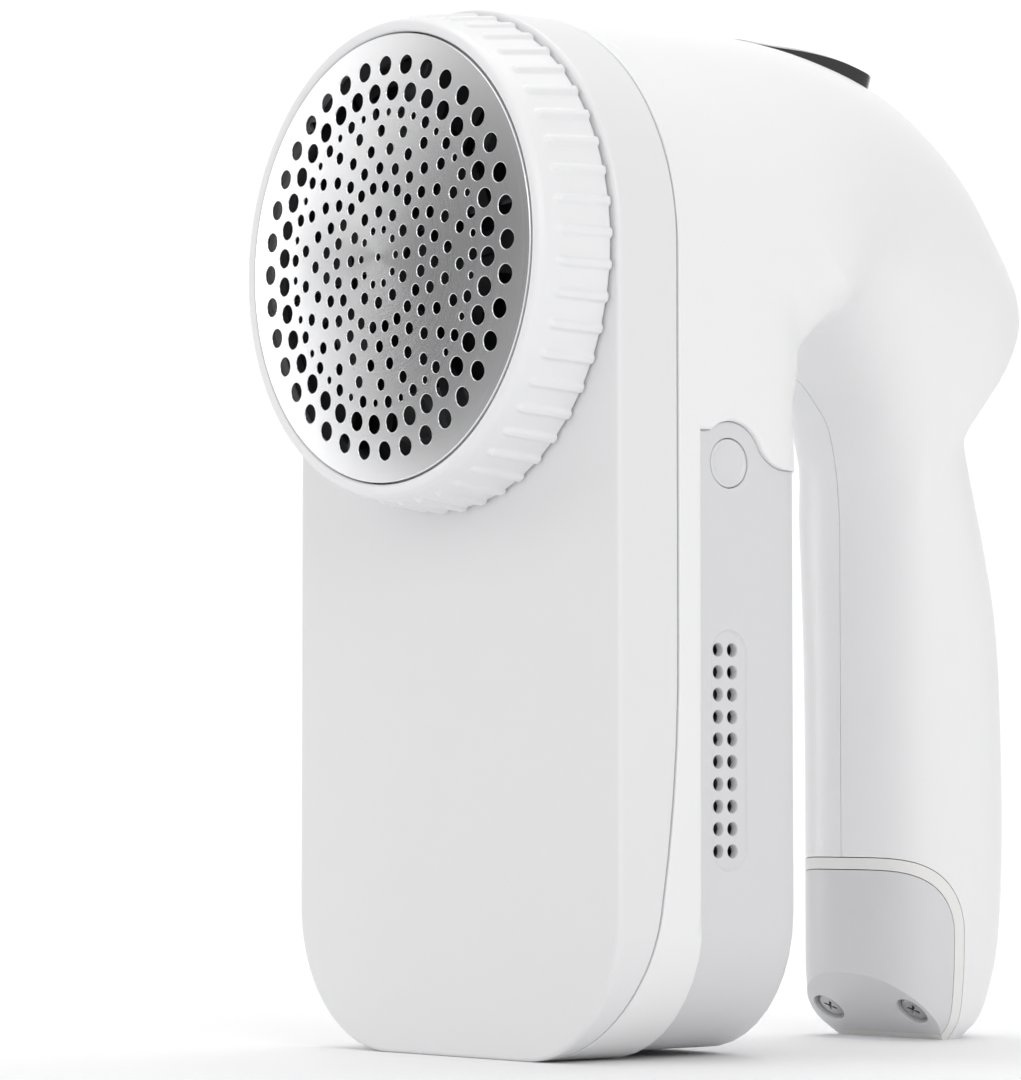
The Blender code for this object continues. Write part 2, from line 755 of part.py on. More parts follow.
def make_fan(look, pivot):
    """Paddle wheel that blows cut lint into the bin."""
    outline = []
    for k in range(FAN_BLADES):
        turn = math.tau * k / FAN_BLADES
        sweep = 0.25
        for radius, half, lag in ((5.0, 0.5, 0.0), (FAN_RADIUS, 0.55, sweep)):
            offset = half / radius
            outline.append((radius, turn - lag - offset))
        for radius, half, lag in ((FAN_RADIUS, 0.55, sweep), (5.0, 0.5, 0.0)):
            offset = half / radius
            outline.append((radius, turn - lag + offset))
    flat = [(r * math.cos(t), HEAD_HEIGHT + r * math.sin(t)) for r, t in outline]
    fan = backward("lint_fan", flat, 3.3, 8.4, look, pivot)
    bore = [(0.0, 2.0), (SHAFT_HOLE, 2.0), (SHAFT_HOLE, 10.0), (0.0, 10.0)]
    cut(fan, turned_on_head("fan_bore", bore, 12, None))


def make_chamber():
    """Cup behind the cutter that gathers lint and lets it fall into the bin."""
    grey = material("chamber_plastic", (0.80, 0.81, 0.82), 0.4)
    profile = [
        (3.5, 9.6),
        (CUP_OUTER - 1.4, 9.6),
        (CUP_OUTER - 1.4, WALL + GAP),
        (CUP_OUTER, WALL + GAP),
        (CUP_OUTER, 11.0),
        (3.5, 11.0),
    ]
    cup = turned_on_head("chamber_cup", profile, 40, grey)
    cut(cup, box("lint_outlet", (-12, 12), (8.0, 14.0), (75.6, 83.0)))


# ---------------------------------------------------------------- motor, battery and boards


def make_motor():
    steel = material("motor_steel", (0.66, 0.67, 0.69), 0.35, 1.0)
    black = material("motor_black", (0.05, 0.05, 0.055), 0.5)
    copper = material("motor_copper", (0.72, 0.42, 0.25), 0.4, 1.0)
    can = [
        (2.4, MOTOR_FRONT),
        (MOTOR_RADIUS, MOTOR_FRONT),
        (MOTOR_RADIUS, MOTOR_BACK),
        (MOTOR_RADIUS - 0.9, MOTOR_BACK),
        (MOTOR_RADIUS - 0.9, MOTOR_FRONT + 1.0),
        (2.4, MOTOR_FRONT + 1.0),
    ]
    turned_on_head("motor_can", can, 28, steel)
    inner = MOTOR_RADIUS - 1.2
    cap = [(0.0, 28.6), (inner, 28.6), (inner, MOTOR_BACK), (4.0, MOTOR_BACK), (4.0, 32.4), (0.0, 32.4)]
    turned_on_head("motor_cap", cap, 24, black)
    magnet = [(8.9, 13.6), (inner, 13.6), (inner, 26.8), (8.9, 26.8)]
    turned_on_head("motor_magnet", magnet, 24, black)
    rotor = [(SHAFT_HOLE, 14.4), (8.4, 14.4), (8.4, 26.0), (SHAFT_HOLE, 26.0)]
    turned_on_head("motor_rotor", rotor, 18, copper, at(0.0, 0.0, HEAD_HEIGHT))


def make_battery():
    blue = material("battery_wrap", (0.10, 0.28, 0.45), 0.4)
    metal = material("contact_metal", (0.75, 0.72, 0.62), 0.3, 1.0)
    low = 13.0
    high = 62.0
    cell = [
        (0.0, low),
        (BATTERY_RADIUS, low),
        (BATTERY_RADIUS, high),
        (2.6, high),
        (2.6, high + 1.2),
        (0.0, high + 1.2),
    ]
    turned("battery_cell", cell, at(0.0, BATTERY_DEPTH, 0.0), (0, 0, 1), 24, blue)
    span = (BATTERY_DEPTH - 4.5, BATTERY_DEPTH + 4.5)
    box("battery_contact_low", (-4.5, 4.5), span, (low - 0.9, low - 0.3), metal)
    box("battery_contact_high", (-4.5, 4.5), span, (high + 1.5, high + 2.1), metal)


def make_boards():
    green = material("board_green", (0.06, 0.30, 0.16), 0.5)
    black = material("part_black", (0.04, 0.04, 0.045), 0.45)
    metal = material("contact_metal", (0.75, 0.72, 0.62), 0.3, 1.0)
    box("main_board", (-11, 11), (43, 67), (112.0, 113.6), green)
    box("switch_body", (-4.5, 4.5), (46, 62), (113.9, 120.8), black)
    box("charge_board", (-8, 8), (76.6, 83.6), (5.6, 7.0), green)
    ring = box("charge_socket", (-4.4, 4.4), (PORT_DEPTH - 1.6, PORT_DEPTH + 1.6), (0.3, 5.3), metal)
    cut(ring, box("socket_mouth", (-4.0, 4.0), (PORT_DEPTH - 1.2, PORT_DEPTH + 1.2), (-1.0, 4.6)))


# ---------------------------------------------------------------- thumb switch


def crown_strip(start, end, low, high, steps=8):
    """Side outline of a strip that follows the handle's crown, as (depth, height)."""
    centre = (CROWN_DEPTH, CROWN_HEIGHT)
    first = math.degrees(math.acos((start - CROWN_DEPTH) / CROWN_RADIUS))
    last = math.degrees(math.acos((end - CROWN_DEPTH) / CROWN_RADIUS))
    upper = arc(centre, CROWN_RADIUS + high, first, last, steps)
    lower = arc(centre, CROWN_RADIUS + low, last, first, steps)
    return upper + lower


def make_switch():
    """Thumb slide that wedges up towards the rear, on a curved track over its switch."""
    black = material("switch_black", (0.012, 0.012, 0.013), 0.12)
    grey = material("track_plastic", (0.82, 0.82, 0.83), 0.45)
    pivot = at(0.0, CROWN_DEPTH, CROWN_HEIGHT)
    steps = 10
    loops = []
    for i in range(steps + 1):
        share = i / steps
        depth = SWITCH_FROM + (SWITCH_TO - SWITCH_FROM) * share
        angle = math.acos((depth - CROWN_DEPTH) / CROWN_RADIUS)
        rise = SWITCH_RISE * share
        loop = [(-SWITCH_HALF, -2.0), (SWITCH_HALF, -2.0)]
        for k in range(7):
            x = SWITCH_HALF * (1.0 - k / 3.0)
            drop = 20.0 * (1.0 - math.sqrt(1.0 - (x / 27.0) ** 2))
            edge = 0.5 * rise * abs(k / 3.0 - 1.0) ** 3
            loop.append((x, 0.05 + rise - drop - edge))
        line = []
        for x, lift in loop:
            radius = CROWN_RADIUS + lift
            place = (CROWN_DEPTH + radius * math.cos(angle), CROWN_HEIGHT + radius * math.sin(angle))
            line.append(at(x, *place))
        loops.append(line)
    slide = rings("thumb_switch", loops, black, pivot)
    stem = box("switch_stem", (-1.5, 1.5), (53.5, 56.5), (121.2, 129.0))
    cut(slide, stem, "UNION")
    outline = crown_strip(SLOT_FROM + 0.3, SWITCH_TO + 0.2, -3.8, -2.35)
    track = across("switch_track", outline, -7.2, 7.2, grey)
    cut(track, box("track_slot", (-2.0, 2.0), (48.6, 57.2), (118.0, 132.0)))


# ---------------------------------------------------------------- lint bin


def leg_solid(name, inset, front, back, low, high, look=None):
    """The body's lower rear, inset on its sides, as a solid between two heights."""
    heights = []
    for angle in (0, 22.5, 45, 67.5, 90):
        heights.append(inset + (CORNER - inset) * (1.0 - math.cos(math.radians(angle))))
    heights = [max(height, low) for height in heights] + [high]
    loops = []
    for height in heights:
        side = half_width(height, inset)
        deep = back - front
        half = [(side, front)]
        for i in range(7):
            angle = 0.5 * math.pi * i / 6
            share = 0.5 + 0.5 * math.sin(angle) ** (2.0 / BACK_ROUNDNESS)
            half.append((side * max(math.cos(angle), 0.0) ** (2.0 / BACK_ROUNDNESS), front + deep * share))
        loop = half + [(-x, depth) for x, depth in reversed(half[:-1])]
        loops.append([at(x, depth, height) for x, depth in loop])
    return rings(name, loops, look)


def stadium(depth_low, depth_high, low, high):
    """Upright slot with round ends as (depth, height)."""
    radius = (depth_high - depth_low) / 2
    middle = (depth_low + depth_high) / 2
    top = arc((middle, high - radius), radius, 0, 180, 6)
    bottom = arc((middle, low + radius), radius, 180, 360, 6)
    return top + bottom


def vent_cutter():
    """All the vent holes through both sides of the bin."""
    vents = []
    for row in range(VENT_ROWS):
        for depth in VENT_DEPTHS:
            height = VENT_TOP - VENT_PITCH * row
            outline = arc((depth, height), VENT_RADIUS, 0, 300, 5)
            vents.append(across("vent", outline, -40, 40))
    return joined_cutter("bin_vents", vents)


def make_bin():
    """Lint bin: an open-topped box whose side walls show as grey panels with vents."""
    grey = material("bin_plastic", (0.80, 0.80, 0.81), 0.35)
    back = BODY_BACK - 0.3
    front = BIN_FRONT + GAP
    lint_bin = leg_solid("lint_bin", BIN_INSET, front, back, BIN_INSET, 80.0, grey)
    cut(lint_bin, across("bin_side_shape", bin_outline(-GAP), -40, 40), "INTERSECT")
    inset = BIN_INSET + BIN_WALL
    cut(lint_bin, leg_solid("bin_hollow", inset, front + BIN_FRONT_WALL, back - BIN_WALL, inset, 90.0))
    outline = stadium(15.5, 21.2, VENT_TOP - VENT_PITCH * (VENT_ROWS - 1) - 2.4, VENT_TOP + 2.4)
    outer = BODY_HALF - BIN_INSET - 0.4
    for name, low, high in (("panel_dip_left", -40, -outer), ("panel_dip_right", outer, 40)):
        cut(lint_bin, across(name, outline, low, high))
    hole = arc((BUTTON_DEPTH, BUTTON_HEIGHT), BUTTON_RADIUS + 0.3, 0, 345, 23)
    cut(lint_bin, across("button_holes", hole, -40, 40))
    cut(lint_bin, vent_cutter())


def make_release_buttons():
    """Round buttons in the bin's sides that free its catches when they are pressed in."""
    grey = material("button_plastic", (0.78, 0.78, 0.79), 0.35)
    outer = BODY_HALF - BIN_INSET
    profile = [
        (0.0, outer - 0.35),
        (BUTTON_RADIUS - 0.4, outer - 0.3),
        (BUTTON_RADIUS, outer - 0.1),
        (BUTTON_RADIUS, outer - 1.9),
        (BUTTON_RADIUS + 0.7, outer - 1.9),
        (BUTTON_RADIUS + 0.7, outer - 2.9),
        (0.0, outer - 2.9),
    ]
    for name, side in (("release_button_left", -1), ("release_button_right", 1)):
        centre = at(0.0, BUTTON_DEPTH, BUTTON_HEIGHT)
        turned(name, profile, centre, (side, 0, 0), 24, grey, centre)


# ---------------------------------------------------------------- end of the handle


def handle_end(name, look=None):
    """The handle's lower end as one solid, cut square across."""
    ribs = CROWN_RIBS[-7:]
    loops = []
    for rib in ribs:
        half = section(rib, OUTER_STEPS, INNER_STEPS)
        loop = half + [(-x, d, h) for x, d, h in reversed(half[1:-1])]
        loops.append([at(*point) for point in loop])
    return rings(name, loops, look)


def end_piece(name, look, low_margin, high_margin):
    """A curved piece of the handle's end wall between two side outlines."""
    piece = handle_end(name, look)
    cut(piece, across(name + "_region", cover_outline(low_margin), -30, 30), "INTERSECT")
    if high_margin is not None:
        cut(piece, across(name + "_inside", cover_outline(high_margin), -30, 30))
    chamfer = [(60.0, CHAMFER - 60.0), (60.0, -5.0), (CHAMFER + 5.0, -5.0)]
    cut(piece, across(name + "_chamfer", chamfer, -30, 30))
    cut(piece, end_hollow(name + "_hollow"))
    return piece


def end_hollow(name):
    """Space inside the handle's end, behind its chamfer."""
    outline = []
    for i in range(24):
        angle = math.tau * i / 24
        x = math.copysign(abs(math.cos(angle)) ** 0.8, math.cos(angle)) * 13.0
        deep = math.copysign(abs(math.sin(angle)) ** 0.8, math.sin(angle)) * 10.9
        outline.append((x, 79.1 + deep))
    hollow = upward(name, outline, 1.0, 40.0)
    inner = CHAMFER + WALL * math.sqrt(2.0)
    floor = WALL + 0.2
    side = [(60.0, 45.0), (60.0, inner - 60.0), (inner - floor, floor), (95.0, floor), (95.0, 45.0)]
    cut(hollow, across(name + "_side", side, -30, 30), "INTERSECT")
    return hollow


def make_handle_end():
    """End cover over the charging parts, its pale seal and two screws in round recesses."""
    grey = material("cover_plastic", (0.76, 0.76, 0.77), 0.3)
    pale = material("seal_rubber", (0.88, 0.87, 0.84), 0.5)
    steel = material("screw_steel", (0.5, 0.5, 0.52), 0.35, 1.0)
    cover = end_piece("end_cover", grey, SEAL_WIDTH + 0.2, None)
    end_piece("end_seal", pale, 0.0, SEAL_WIDTH)
    out = Vector((0.0, -1.0, -1.0)).normalized()
    recess = [(0.0, -4.0), (1.1, -4.0), (1.1, -1.2), (2.35, -1.2), (2.35, 3.0), (0.0, 3.0)]
    screw = [(0.0, -3.6), (0.8, -3.6), (0.8, -1.1), (1.9, -1.1), (1.9, -0.4), (0.0, -0.4)]
    recesses = []
    for number, x in enumerate((-8.0, 8.0), 1):
        centre = at(x, 71.4, CHAMFER - 71.4)
        recesses.append(turned("recess", recess, centre, out, 20, None))
        turned(f"end_screw_{number}", screw, centre, out, 14, steel)
    cut(cover, joined_cutter("screw_recesses", recesses))


# ---------------------------------------------------------------- build


def clear_scene():
    for old in list(bpy.data.objects):
        bpy.data.objects.remove(old)


clear_scene()
make_front_housing()
make_rear_housings()
make_ring_seat()
make_foil_ring()
make_foil()
make_cutter_disc()
make_blades()
make_cutter_drive()
make_chamber()
make_motor()
make_battery()
make_boards()
make_switch()
make_bin()
make_release_buttons()
make_handle_end()
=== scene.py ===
"""Looks of the fabric shaver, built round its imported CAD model.

Sizes are in millimetres, as in the CAD: X runs across, depth runs back from the flat front face,
and height runs up from the surface the shaver stands on. at() turns them into the frame's metres.
"""

import json
import math

import bmesh
import bpy
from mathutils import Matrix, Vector
from mathutils.geometry import delaunay_2d_cdt


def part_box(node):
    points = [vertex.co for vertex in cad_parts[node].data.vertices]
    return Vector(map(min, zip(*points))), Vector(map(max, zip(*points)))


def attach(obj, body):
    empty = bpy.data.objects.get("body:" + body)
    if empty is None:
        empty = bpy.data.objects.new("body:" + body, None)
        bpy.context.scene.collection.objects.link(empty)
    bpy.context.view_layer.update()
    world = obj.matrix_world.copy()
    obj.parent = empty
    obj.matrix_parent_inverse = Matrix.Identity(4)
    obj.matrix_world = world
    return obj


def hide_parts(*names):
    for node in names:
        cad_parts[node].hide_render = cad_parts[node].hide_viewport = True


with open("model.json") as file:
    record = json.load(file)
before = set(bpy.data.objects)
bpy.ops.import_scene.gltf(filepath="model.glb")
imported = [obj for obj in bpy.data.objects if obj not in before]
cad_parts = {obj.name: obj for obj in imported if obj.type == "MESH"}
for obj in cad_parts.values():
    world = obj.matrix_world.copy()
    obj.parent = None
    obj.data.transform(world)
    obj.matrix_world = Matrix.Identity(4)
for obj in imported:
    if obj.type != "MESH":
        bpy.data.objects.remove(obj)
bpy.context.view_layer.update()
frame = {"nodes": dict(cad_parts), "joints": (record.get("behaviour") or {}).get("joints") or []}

MM = 0.001
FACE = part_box("front_housing")[0].y  # Y of the flat front face
HEAD = Vector(next(j["pos_m"] for j in frame["joints"] if j["name"] == "ring_twist"))
HEAD_HEIGHT = HEAD.z / MM

# Body
GAP = 0.3  # between the front and rear housings
BODY_HALF = 31.88  # half the body's width, and the radius of its arched top
CORNER = 18.0  # bottom corners
WALL = 2.0
SPLIT_DEPTH = 9.3  # the front and rear housings meet here
SPLIT_BEND_FROM = 48.0  # below this height the parting line curves forward
SPLIT_BEND = 0.003
BODY_BACK = 33.0  # deeper than the CAD body's back by 4 mm
BACK_ROUNDNESS = 5.0  # superellipse exponent of the body's rear edges
HEAD_HOLE = 25.0
SEAM = 0.06  # half the gap between the two rear housings
FORWARD = 2.0  # how far the rear housings run past the parting line before they are trimmed

# Cutting head
FOIL_RADIUS = 27.85
FOIL_RIM_DEPTH = -10.42
FOIL_DOME = 1.44
FOIL_THICKNESS = 0.25
FOIL_SKIRT_DEPTH = -8.6
FOIL_FLANGE = 28.9
# Rings of holes: radius of the ring, holes on it, hole diameters taken in turn, turn in pitches.
FOIL_RINGS = (
    (3.48, 10, (1.0,), 0.0),
    (5.66, 12, (1.5,), 0.0),
    (8.72, 22, (1.5,), 0.0),
    (11.07, 22, (1.5,), 0.5),
    (13.42, 22, (1.5,), 0.0),
    (15.77, 22, (1.5,), 0.5),
    (18.03, 44, (0.95, 1.5), 0.5),
    (20.66, 36, (2.4,), 0.5),
    (23.95, 36, (2.4,), 0.0),
)
RIB_COUNT = 50
RIB_HEIGHT = 0.45
RING_BORE = 27.7
# Shares of one pitch where the ring has points, closer together over the rib.
RIB_SHARES = (0.0, 0.12, 0.22, 0.29, 0.33, 0.37, 0.41, 0.455, 0.5)
RIB_SHARES += (0.545, 0.59, 0.63, 0.67, 0.71, 0.78, 0.88)

# Lint bin
BIN_FRONT = 13.3
BIN_INSET = 0.8
BIN_GAP = 0.03
BIN_WALL = 1.6
BIN_FRONT_WALL = 0.9
BUTTON_DEPTH = 18.4
BUTTON_HEIGHT = 72.8
BUTTON_RADIUS = 3.0
VENT_ROWS = 10
VENT_TOP = 50.0
VENT_PITCH = 2.72
VENT_RADIUS = 0.82
VENT_DEPTHS = (16.9, 19.2)
DIP_DEPTHS = (15.5, 21.2)
DIP_END = 2.4  # from the last vents to the dip's ends
BEYOND = 40.0  # past the body's sides

# Thumb slide, on an arc along the handle's crown
CROWN_RADIUS = 92.2
CROWN_DEPTH = 38.2
CROWN_HEIGHT = 39.5
SWITCH_FROM = 42.9
SWITCH_TO = 66.8
SWITCH_HALF = 6.9
SWITCH_GAP = 0.35
SWITCH_CORNER = 2.4
# How far the slide's back stands off the crown, by the share of its length from the front tip.
SWITCH_RISE = ((0.0, 0.0), (0.25, 0.38), (0.5, 1.2), (0.72, 1.8), (0.9, 1.97), (1.0, 1.92))
SLOT_FROM = 38.4
SIDE_DROP = 20.0  # height and half width of the ellipse across the crown
SIDE_HALF = 27.0

# End of the handle
COVER_DEPTH = 76.0
COVER_HEIGHT = 24.1
COVER_ARCH = 10.0
SEAL_WIDTH = 1.5
CHAMFER = 75.1
PORT_DEPTH = 80.0
PORT_HALF = (4.8, 2.0)
SCREW_X = 8.0
SCREW_DEPTH = 71.4
SCREW_TURN = 0.4

# Ribs of the handle's loft, from the body's side over the top and down to the handle's end: an
# outer point (half width, depth, height), a point on the inner middle line (depth, height), the
# greatest half width, where along the section that is, and the superellipse exponent after it.
LOFT_RIBS = (
    (31.88, 9.6, 84.0, 33.0, 67.0, 31.88, 0.55, 5.0),
    (31.88, 9.6, 98.7, 34.0, 77.0, 31.88, 0.52, 4.0),
    (0.0, 24.0, 131.1, 46.2, 90.9, 30.4, 0.74, 2.2),
    (0.0, 41.0, 131.58, 49.3, 91.1, 27.4, 0.66, 2.2),
    (0.0, 55.0, 130.15, 52.7, 90.5, 23.6, 0.6, 2.2),
    (0.0, 66.8, 127.1, 56.5, 88.9, 20.4, 0.56, 2.3),
    (0.0, 76.4, 122.1, 59.7, 86.8, 18.2, 0.54, 2.4),
    (0.0, 82.9, 117.2, 62.2, 84.2, 16.8, 0.53, 2.5),
    (0.0, 88.5, 110.6, 63.9, 82.0, 15.9, 0.52, 2.5),
    (0.0, 92.7, 104.6, 64.8, 79.4, 15.4, 0.5, 2.5),
    (0.0, 94.0, 100.2, 65.3, 77.2, 15.1, 0.5, 2.5),
    (0.0, 92.4, 95.8, 65.7, 74.8, 14.5, 0.5, 2.5),
    (0.0, 88.9, 92.0, 65.9, 72.6, 13.9, 0.5, 2.5),
    (0.0, 85.0, 88.2, 66.1, 70.4, 13.4, 0.5, 2.5),
    (0.0, 82.5, 84.3, 66.2, 67.4, 13.1, 0.5, 2.5),
    (0.0, 84.0, 77.6, 66.2, 62.2, 13.1, 0.5, 2.5),
    (0.0, 87.0, 67.0, 66.2, 55.2, 13.3, 0.5, 2.5),
    (0.0, 89.4, 56.0, 66.2, 47.5, 13.4, 0.5, 2.5),
    (0.0, 90.4, 41.0, 66.2, 37.0, 13.4, 0.5, 2.5),
    (0.0, 90.5, 26.0, 66.2, 24.5, 13.4, 0.5, 2.5),
    (0.0, 89.7, 14.0, 66.2, 14.0, 13.3, 0.5, 2.5),
    (0.0, 88.3, 8.0, 66.3, 8.0, 13.0, 0.5, 2.5),
    (0.0, 86.0, 2.8, 67.0, 2.8, 12.1, 0.5, 2.5),
    (0.0, 82.6, 0.0, 70.0, 0.0, 10.0, 0.5, 2.5),
)
# Inner points and exponents of the ribs from the arched parting line, by the arch's angle.
ARCH_INNER = (
    (0.0, 34.4, 77.8, 4.0),
    (30.0, 36.8, 83.6, 3.2),
    (55.0, 39.4, 87.2, 2.7),
    (75.0, 41.9, 89.3, 2.4),
    (90.0, 43.9, 90.3, 2.3),
)
ARCH_ANGLES = (15.0, 30.0, 45.0, 60.0, 75.0, 90.0)

# Camera: its place in metres, and the level direction and upward pitch of its look.
CAMERA_PLACE = (0.43525, -0.38657, 0.03153)
CAMERA_LOOK = (-0.7755, 0.6314)
CAMERA_PITCH = 3.36
CAMERA_LENS = 148.7


# ---- places and curves


def at(x, depth, height):
    return Vector((x * MM, FACE + depth * MM, height * MM))


def split(height):
    """Depth of the parting line between the front and rear housings."""
    return SPLIT_DEPTH - SPLIT_BEND * max(SPLIT_BEND_FROM - height, 0.0) ** 2


def half_width(height, inset=0.0):
    """Half the body's width at a height below its arched top."""
    below = max(CORNER - height, 0.0)
    return BODY_HALF - CORNER + math.sqrt(max((CORNER - inset) ** 2 - below**2, 0.0))


def dome(radius):
    """Depth of the foil's outer surface."""
    return FOIL_RIM_DEPTH - FOIL_DOME * (1.0 - (radius / FOIL_RADIUS) ** 2)


def head_point(radius, turn, depth):
    return at(radius * math.cos(turn), depth, HEAD_HEIGHT + radius * math.sin(turn))


def crown_drop(x):
    """How far the crown falls away from its middle line."""
    return SIDE_DROP * (1.0 - math.sqrt(1.0 - (x / SIDE_HALF) ** 2))


def quarter(steps):
    """A quarter turn in steps, as pairs of (1 - cosine, sine)."""
    turns = [0.5 * math.pi * k / steps for k in range(steps + 1)]
    return [(1.0 - math.cos(turn), math.sin(turn)) for turn in turns]


def corner_heights(inset):
    """Heights up the body's rounded bottom corners."""
    turns = [math.radians(angle) for angle in range(0, 91, 9)]
    return [inset + (CORNER - inset) * (1.0 - math.cos(turn)) for turn in turns]


def both_sides(levels):
    """Levels (X, growth) of one side, with their mirror images before them."""
    return [(-x, grow) for x, grow in reversed(levels)] + levels


def arc(centre, radius, start, end, steps):
    """Points of an arc in a plane, angles in degrees."""
    found = []
    for i in range(steps + 1):
        angle = math.radians(start + (end - start) * i / steps)
        found.append((centre[0] + radius * math.cos(angle), centre[1] + radius * math.sin(angle)))
    return found


def bin_outline(margin):
    """Side outline of the lint bin as (depth, height), grown by a margin."""
    lean = math.asin(4.8 / 10.4)  # where the crest's arc of 5.1 mm meets the swoop's of 5.3 mm
    turn = math.degrees(lean)
    centre = (BUTTON_DEPTH + 10.4 * math.cos(lean), BUTTON_HEIGHT + 4.8)
    crest = arc((BUTTON_DEPTH, BUTTON_HEIGHT), 5.1 + margin, 130, turn, 24)
    swoop = arc(centre, 5.3 - margin, 180 + turn, 269, 20)[1:]
    front = BIN_FRONT - margin
    outline = [(front, -9.0), (front, 76.6 + margin)] + crest + swoop
    return outline + [(36.0, 72.3 + margin), (36.0, -9.0)]


def cover_outline(margin):
    """Side outline of the end cover as (depth, height), shrunk by a margin."""
    deep = COVER_DEPTH - margin
    top = COVER_HEIGHT - margin
    radius = COVER_ARCH - margin
    corner = arc((deep - radius, top - radius), radius, 90, 0, 24)
    return [(60.0, -9.0), (60.0, top)] + corner + [(deep, -9.0)]


def smooth(low, high, value):
    share = min(max((value - low) / (high - low), 0.0), 1.0)
    return share * share * (3.0 - 2.0 * share)


def neighbours(rows, i, low=0, high=None):
    """The four rows round the span after row i, none beyond the rows low and high."""
    if high is None:
        high = len(rows) - 1
    return [rows[min(max(k, low), high)] for k in (i - 1, i, i + 1, i + 2)]


def between(table, value):
    """Values of a table at a place between its rows, on smooth curves."""
    keys = [row[0] for row in table]
    for i in range(len(keys) - 1):
        if value <= keys[i + 1] + 1e-9:
            break
    return cubic(neighbours(table, i), value)[1:]


def cubic(rows, place):
    """A Catmull-Rom curve through rows whose first values are their places."""
    before, first, second, after = rows
    width = second[0] - first[0]
    share = (place - first[0]) / width
    found = []
    for k in range(len(first)):
        slope0 = width * (second[k] - before[k]) / (second[0] - before[0])
        slope1 = width * (after[k] - first[k]) / (after[0] - first[0])
        s2 = share * share
        s3 = s2 * share
        value = (2 * s3 - 3 * s2 + 1) * first[k] + (s3 - 2 * s2 + share) * slope0
        value += (3 * s2 - 2 * s3) * second[k] + (s3 - s2) * slope1
        found.append(value)
    return found


# ---- meshes


def linked(name, data):
    made = bpy.data.objects.new(name, data)
    bpy.context.scene.collection.objects.link(made)
    return made


def new_object(name, points, faces, sharp=35.0):
    """A smooth-shaded object, cleaned of double points and loose edges, its faces pointing out."""
    mesh = bpy.data.meshes.new(name)
    mesh.from_pydata(points, [], faces)
    shape = bmesh.new()
    shape.from_mesh(mesh)
    bmesh.ops.remove_doubles(shape, verts=shape.verts, dist=0.0005 * MM)
    bmesh.ops.dissolve_degenerate(shape, dist=0.0001 * MM, edges=shape.edges)
    loose = [edge for edge in shape.edges if not edge.link_faces]
    bmesh.ops.delete(shape, geom=loose, context="EDGES")
    bmesh.ops.recalc_face_normals(shape, faces=shape.faces)
    shape.to_mesh(mesh)
    shape.free()
    mesh.shade_smooth()
    mesh.set_sharp_from_angle(angle=math.radians(sharp))
    return linked(name, mesh)


def band(first, second):
    """Four-cornered faces between two closed loops of indices."""
    size = len(first)
    faces = []
    for k in range(size):
        after = (k + 1) % size
        faces.append([first[k], first[after], second[after], second[k]])
    return faces


def loft(name, loops, closed=False, sharp=35.0):
    """A solid from loops of points with one count each, capped unless it closes on itself."""
    size = len(loops[0])
    points = [point for loop in loops for point in loop]
    rows = [range(row * size, (row + 1) * size) for row in range(len(loops))]
    faces = []
    for first, second in zip(rows, rows[1:] + rows[:1] if closed else rows[1:]):
        faces += band(first, second)
    if not closed:
        faces.append(list(rows[0]))
        faces.append(list(reversed(rows[-1])))
    return new_object(name, points, faces, sharp)


def extruded(name, outline, place):
    """A prism between the two ends that place gives for each point of an outline."""
    ends = [place(*point) for point in outline]
    return loft(name, [[low for low, _ in ends], [high for _, high in ends]])


def across(name, outline, low, high):
    """A prism of a (depth, height) outline between two values of X."""
    return extruded(name, outline, lambda d, h: (at(low, d, h), at(high, d, h)))


def side_cutter(name, outline_of, levels):
    """A solid across the shaver: levels are (X, growth of the outline)."""
    return loft(name, [[at(x, d, h) for d, h in outline_of(grow)] for x, grow in levels])


def turned(name, profile, centre, direction, steps):
    """A closed (radius, along) profile turned about an axis through a centre."""
    along = Vector(direction).normalized()
    side = along.orthogonal().normalized()
    other = along.cross(side)
    loops = []
    for i in range(steps):
        turn = math.tau * i / steps
        out = side * math.cos(turn) + other * math.sin(turn)
        loops.append([centre + (out * radius + along * far) * MM for radius, far in profile])
    return loft(name, loops, closed=True)


def smoothed(obj, sharp=35.0):
    """Shades the object smooth, with flat faces kept flat by weighted normals."""
    obj.data.shade_smooth()
    obj.data.set_sharp_from_angle(angle=math.radians(sharp))
    change = obj.modifiers.new("normals", "WEIGHTED_NORMAL")
    change.keep_sharp = True
    change.mode = "FACE_AREA_WITH_ANGLE"
    change.weight = 60


def sewn(mesh):
    """Joins the points that a Boolean leaves a hair apart."""
    shape = bmesh.new()
    shape.from_mesh(mesh)
    bmesh.ops.remove_doubles(shape, verts=shape.verts, dist=0.001 * MM)
    bmesh.ops.dissolve_degenerate(shape, dist=0.0005 * MM, edges=shape.edges)
    shape.to_mesh(mesh)
    shape.free()


def cut(target, cutters, operation="DIFFERENCE"):
    """Booleans, applied one after the other. The cutters are removed."""
    for cutter in cutters:
        change = target.modifiers.new("cut", "BOOLEAN")
        change.object = cutter
        change.operation = operation
        change.solver = "EXACT"
        bpy.context.view_layer.update()
        graph = bpy.context.evaluated_depsgraph_get()
        mesh = bpy.data.meshes.new_from_object(target.evaluated_get(graph))
        target.modifiers.clear()
        sewn(mesh)
        target.data = mesh
        bpy.data.objects.remove(cutter)
    return target


def joined(name, solids):
    """One object from several separate ones."""
    shape = bmesh.new()
    for solid in solids:
        shape.from_mesh(solid.data)
        bpy.data.objects.remove(solid)
    mesh = bpy.data.meshes.new(name)
    shape.to_mesh(mesh)
    shape.free()
    return linked(name, mesh)


